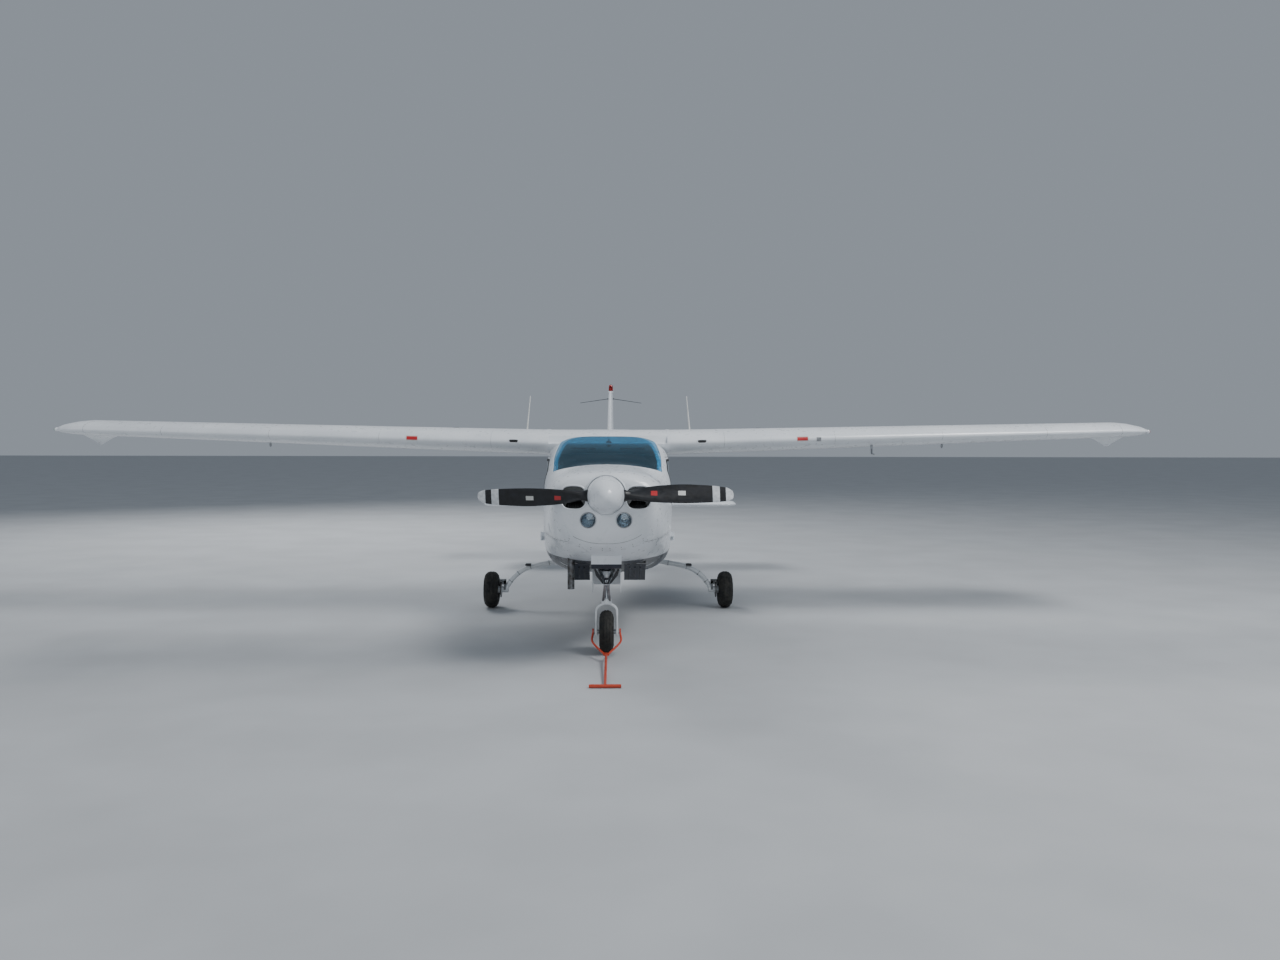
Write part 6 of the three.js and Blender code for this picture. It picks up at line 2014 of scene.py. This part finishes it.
def ring_line(station, start, end, steps, lift=0.0):
    """Points round the fuselage's lower side at a station, from one place across to another."""
    return np.array([edge_at(station, across, -lift) for across in np.linspace(start, end, steps)])


# Section of a dark line laid along a joint: the shadow in the gap, painted.
SEAM_SHADOW_SECTION = rectangle(-1.6, -1, 1.6, 0.4)
# Section of a white strip: a painted highlight on the lower cowl's rear edge.
EDGE_HIGHLIGHT_SECTION = [(-5, -1), (5, -1), (5, 1), (3.6, 2), (-3.6, 2), (-5, 1)]


SIDE_VENT = (875, 1064)


def make_cowl_details():
    """Fasteners, oil door latch, dark lines of painted shadow along the oil door and the cowl's joints, a
    white strip of painted highlight on the lower cowl's rear edge, and the side vent's rim round a black disc
    of painted shade.
    """
    places = []
    for station in (COWL_SEAM - 12, COWL_SEAM + 14, FIREWALL - 16):
        ring = fuselage_ring(station, 0, 360)
        places += [ring[index] for index in np.linspace(4, 176, 15).astype(int)]
    places += [side_at(station, height) for station in np.arange(570, 1440, 62)
               for height in (COWL_SPLIT - 13, COWL_SPLIT + 13)]
    places = [place for place in places if place[0] > 1]
    show_pair(studs(places, normals_at(places), 5, 1.0, 12), "cowl_fasteners", bright_steel)
    oil_door = rounded(rectangle(700, 1440, 880, 1500), 16)
    # The oil door's outline, the cowl's split and the chin's joint are dark lines of painted shadow.
    show(laid(on_side(oil_door, 10), SEAM_SHADOW_SECTION, True), "oil_door_shadow_line", black_plastic)
    show(button(790, 1456, [(9, -1), (9, 1), (7, 2), (0, 2)], 24), "oil_door_latch", bright_steel)
    split = [side_at(station, COWL_SPLIT) for station in np.linspace(560, FIREWALL - 6, 40)]
    show_pair(laid(split, SEAM_SHADOW_SECTION), "cowl_split_shadow_line", black_plastic)
    # A white strip of painted highlight along the lower cowl's rear edge.
    show_pair(laid(ring_line(FIREWALL - 8, 205, 412, 16), EDGE_HIGHLIGHT_SECTION), "cowl_edge_highlight", white_enamel)
    show(laid(ring_line(455, -262, 282, 40, 0.1), SEAM_SHADOW_SECTION), "chin_shadow_line", grey_plastic)
    # The vent's black disc is painted shade: the dark of its opening.
    rim = on_side(circle(1, 28) * (26, 43) + SIDE_VENT, 6)
    vent_shade_disc = loft([rim - hull_normal(side_at(*SIDE_VENT)) * 3, rim + normals_at(rim) * 0.8])
    for name, piece, material in (("side_vent_rim", laid(rim, circle(4, 10), True), white_enamel),
                                  ("side_vent_shade_disc", vent_shade_disc, black_plastic)):
        show(mirror_of(piece), name, material)
        bpy.data.objects.remove(piece)


def screen_edge():
    """The windscreen's rim from the middle of its foot round the left side to the middle of its top."""
    foot, corner, shoulder, head = WINDSCREEN[:4]
    points = [(0, foot[0], section_at(foot[0])[2])]
    for start, end in ((foot, corner), (corner, shoulder), (shoulder, head)):
        for station, height in np.linspace(start, end, 160):
            if height < section_at(station)[2] - 0.05:
                points.append(side_at(station, height))
    last = points[-1][1]
    return evenly([*points, (0, last, section_at(last)[2])], 14, closed=False)


STATIC_PLATE = (1640, 1010)


def make_cabin_details():
    """Windscreen strip, door and baggage locks, rivets, belly drains, belly aerial and static plates."""
    left = screen_edge()
    rim = np.vstack([left[:-1], left[:0:-1] * (-1, 1, 1)])
    strip = [(-9, -2), (9, -2), (9, 0.6), (7, 1.6), (-7, 1.6), (-9, 0.6)]
    show(laid(rim, strip, True), "windscreen_strip", white_enamel)
    start, end = side_at(2960, 1118), side_at(3064, 1118)
    away = hull_normal((start + end) / 2) * 18
    grip = tube(smooth_line([start, start + away + (0, 8, 0), end + away - (0, 8, 0), end], 6), 6.5, 14)
    dish = laid(on_side(rounded(rectangle(2938, 1090, 3086, 1146), 22), 8), circle(2.2, 8), True)
    lock = button(3012, 1060, [(11, -1), (11, 2), (8, 3), (0, 3)], 28)
    show_pair(joined(grip, dish, lock), "door_handle", bright_steel, "door")
    latch = button(4120, 1015, [(16, -1), (16, 1.5), (13, 3), (0, 3)], 32)
    show(latch, "baggage_latch", bright_steel, "baggage_door")
    places = []
    for station in (1480, 1660, 1840):
        top, bottom = section_at(station)[2:4]
        places += hull_ring_places(station, bottom + 40, min(1300, top - 260), RIVET_PITCH)
    for station, high in ((3205, 1600), (4240, 1500)):
        places += hull_ring_places(station, 640, high, RIVET_PITCH)
    for start, height in ((1500, 752), (1500, 728), (2260, 1644)):
        places += [side_at(station, height) for station in np.arange(start, 4260, RIVET_PITCH)]
    show_pair(studs(places, normals_at(places)), "cabin_rivets", fuselage_enamel)
    drain = [(12, -2), (12, 3), (8, 6), (3, 9), (0, 9)]
    drains = [turned(drain, edge_at(*place), (0, 0, -1), 24)
              for place in ((2600, 160), (2600, -160), (3900, 0), (1800, 120))]
    show(joined(*drains), "belly_drains", bright_steel)
    blade = blade_aerial((0, 2950, 560), 2.2, [(0, 34, 0), (-15, 32, 3), (-60, 20, 22), (-70, 10, 30)])
    show(blade, "belly_blade_aerial", pale_plastic)
    rim = on_side(circle(1, 24) * (40, 26) + STATIC_PLATE, 8)
    show_pair(laid(rim, circle(3, 8), True), "static_plate_rim", white_enamel)
    show_pair(button(*STATIC_PLATE, [(17, -1), (17, 1), (4, 1.2), (3, -1), (0, -1)], 32), "static_plate",
              bright_steel)


for make in (make_wings, make_nose, make_spinner, make_blades, make_cowl, make_cabin, make_tail_cone,
             make_fin, make_stabilator, make_wheels, make_legs, make_nose_gear, make_tow_bar, make_engine,
             make_exhaust, make_seats, make_panel, make_trim, make_wing_details, make_cowl_details,
             make_cabin_details):
    make()


# Floor, light and background
def make_studio():
    """A pale floor that runs far back, a soft sky and four large lamps."""
    floor_material, tree, shader = blank_material("pale_floor")
    base = mixed(tree, varied(tree, (900, 3), 0, 1), colour("#b4b7ba"), colour("#adb0b3"))
    finish_with(tree, shader, base, 0.75)
    bpy.ops.mesh.primitive_plane_add(size=160, location=(0, 20, 0))
    floor = bpy.context.object
    floor.name = "floor"
    floor.data.materials.append(floor_material)
    world = bpy.data.worlds.new("soft_sky")
    world.use_nodes = True
    sky = world.node_tree.nodes["Background"].inputs
    sky["Color"].default_value, sky["Strength"].default_value = colour("#c2ccd8"), 0.5
    bpy.context.scene.world = world
    # Name, place, aim, size and power of each lamp, and whether it shows in gloss and through glass
    lamps = [
        ("key", (8, -7, 12), (0, -1, 1), 5, 1500, True),
        ("rear", (-7, 11, 11), (0, 0, 1.5), 6, 1900, False),
        ("fill", (-12, -12, 6), (0, -2, 1), 9, 420, False),
        ("front", (1, -17, 3), (0, -4, 1.1), 5, 130, True),
    ]
    for name, place, aim, size, power, seen in lamps:
        lamp = bpy.data.lights.new(name, "AREA")
        lamp.size, lamp.energy = size, power
        holder = linked(bpy.data.objects.new(name, lamp))
        holder.location = place
        holder.rotation_euler = (Vector(aim) - Vector(place)).to_track_quat("-Z", "Y").to_euler()
        holder.visible_glossy = holder.visible_transmission = seen


make_studio()
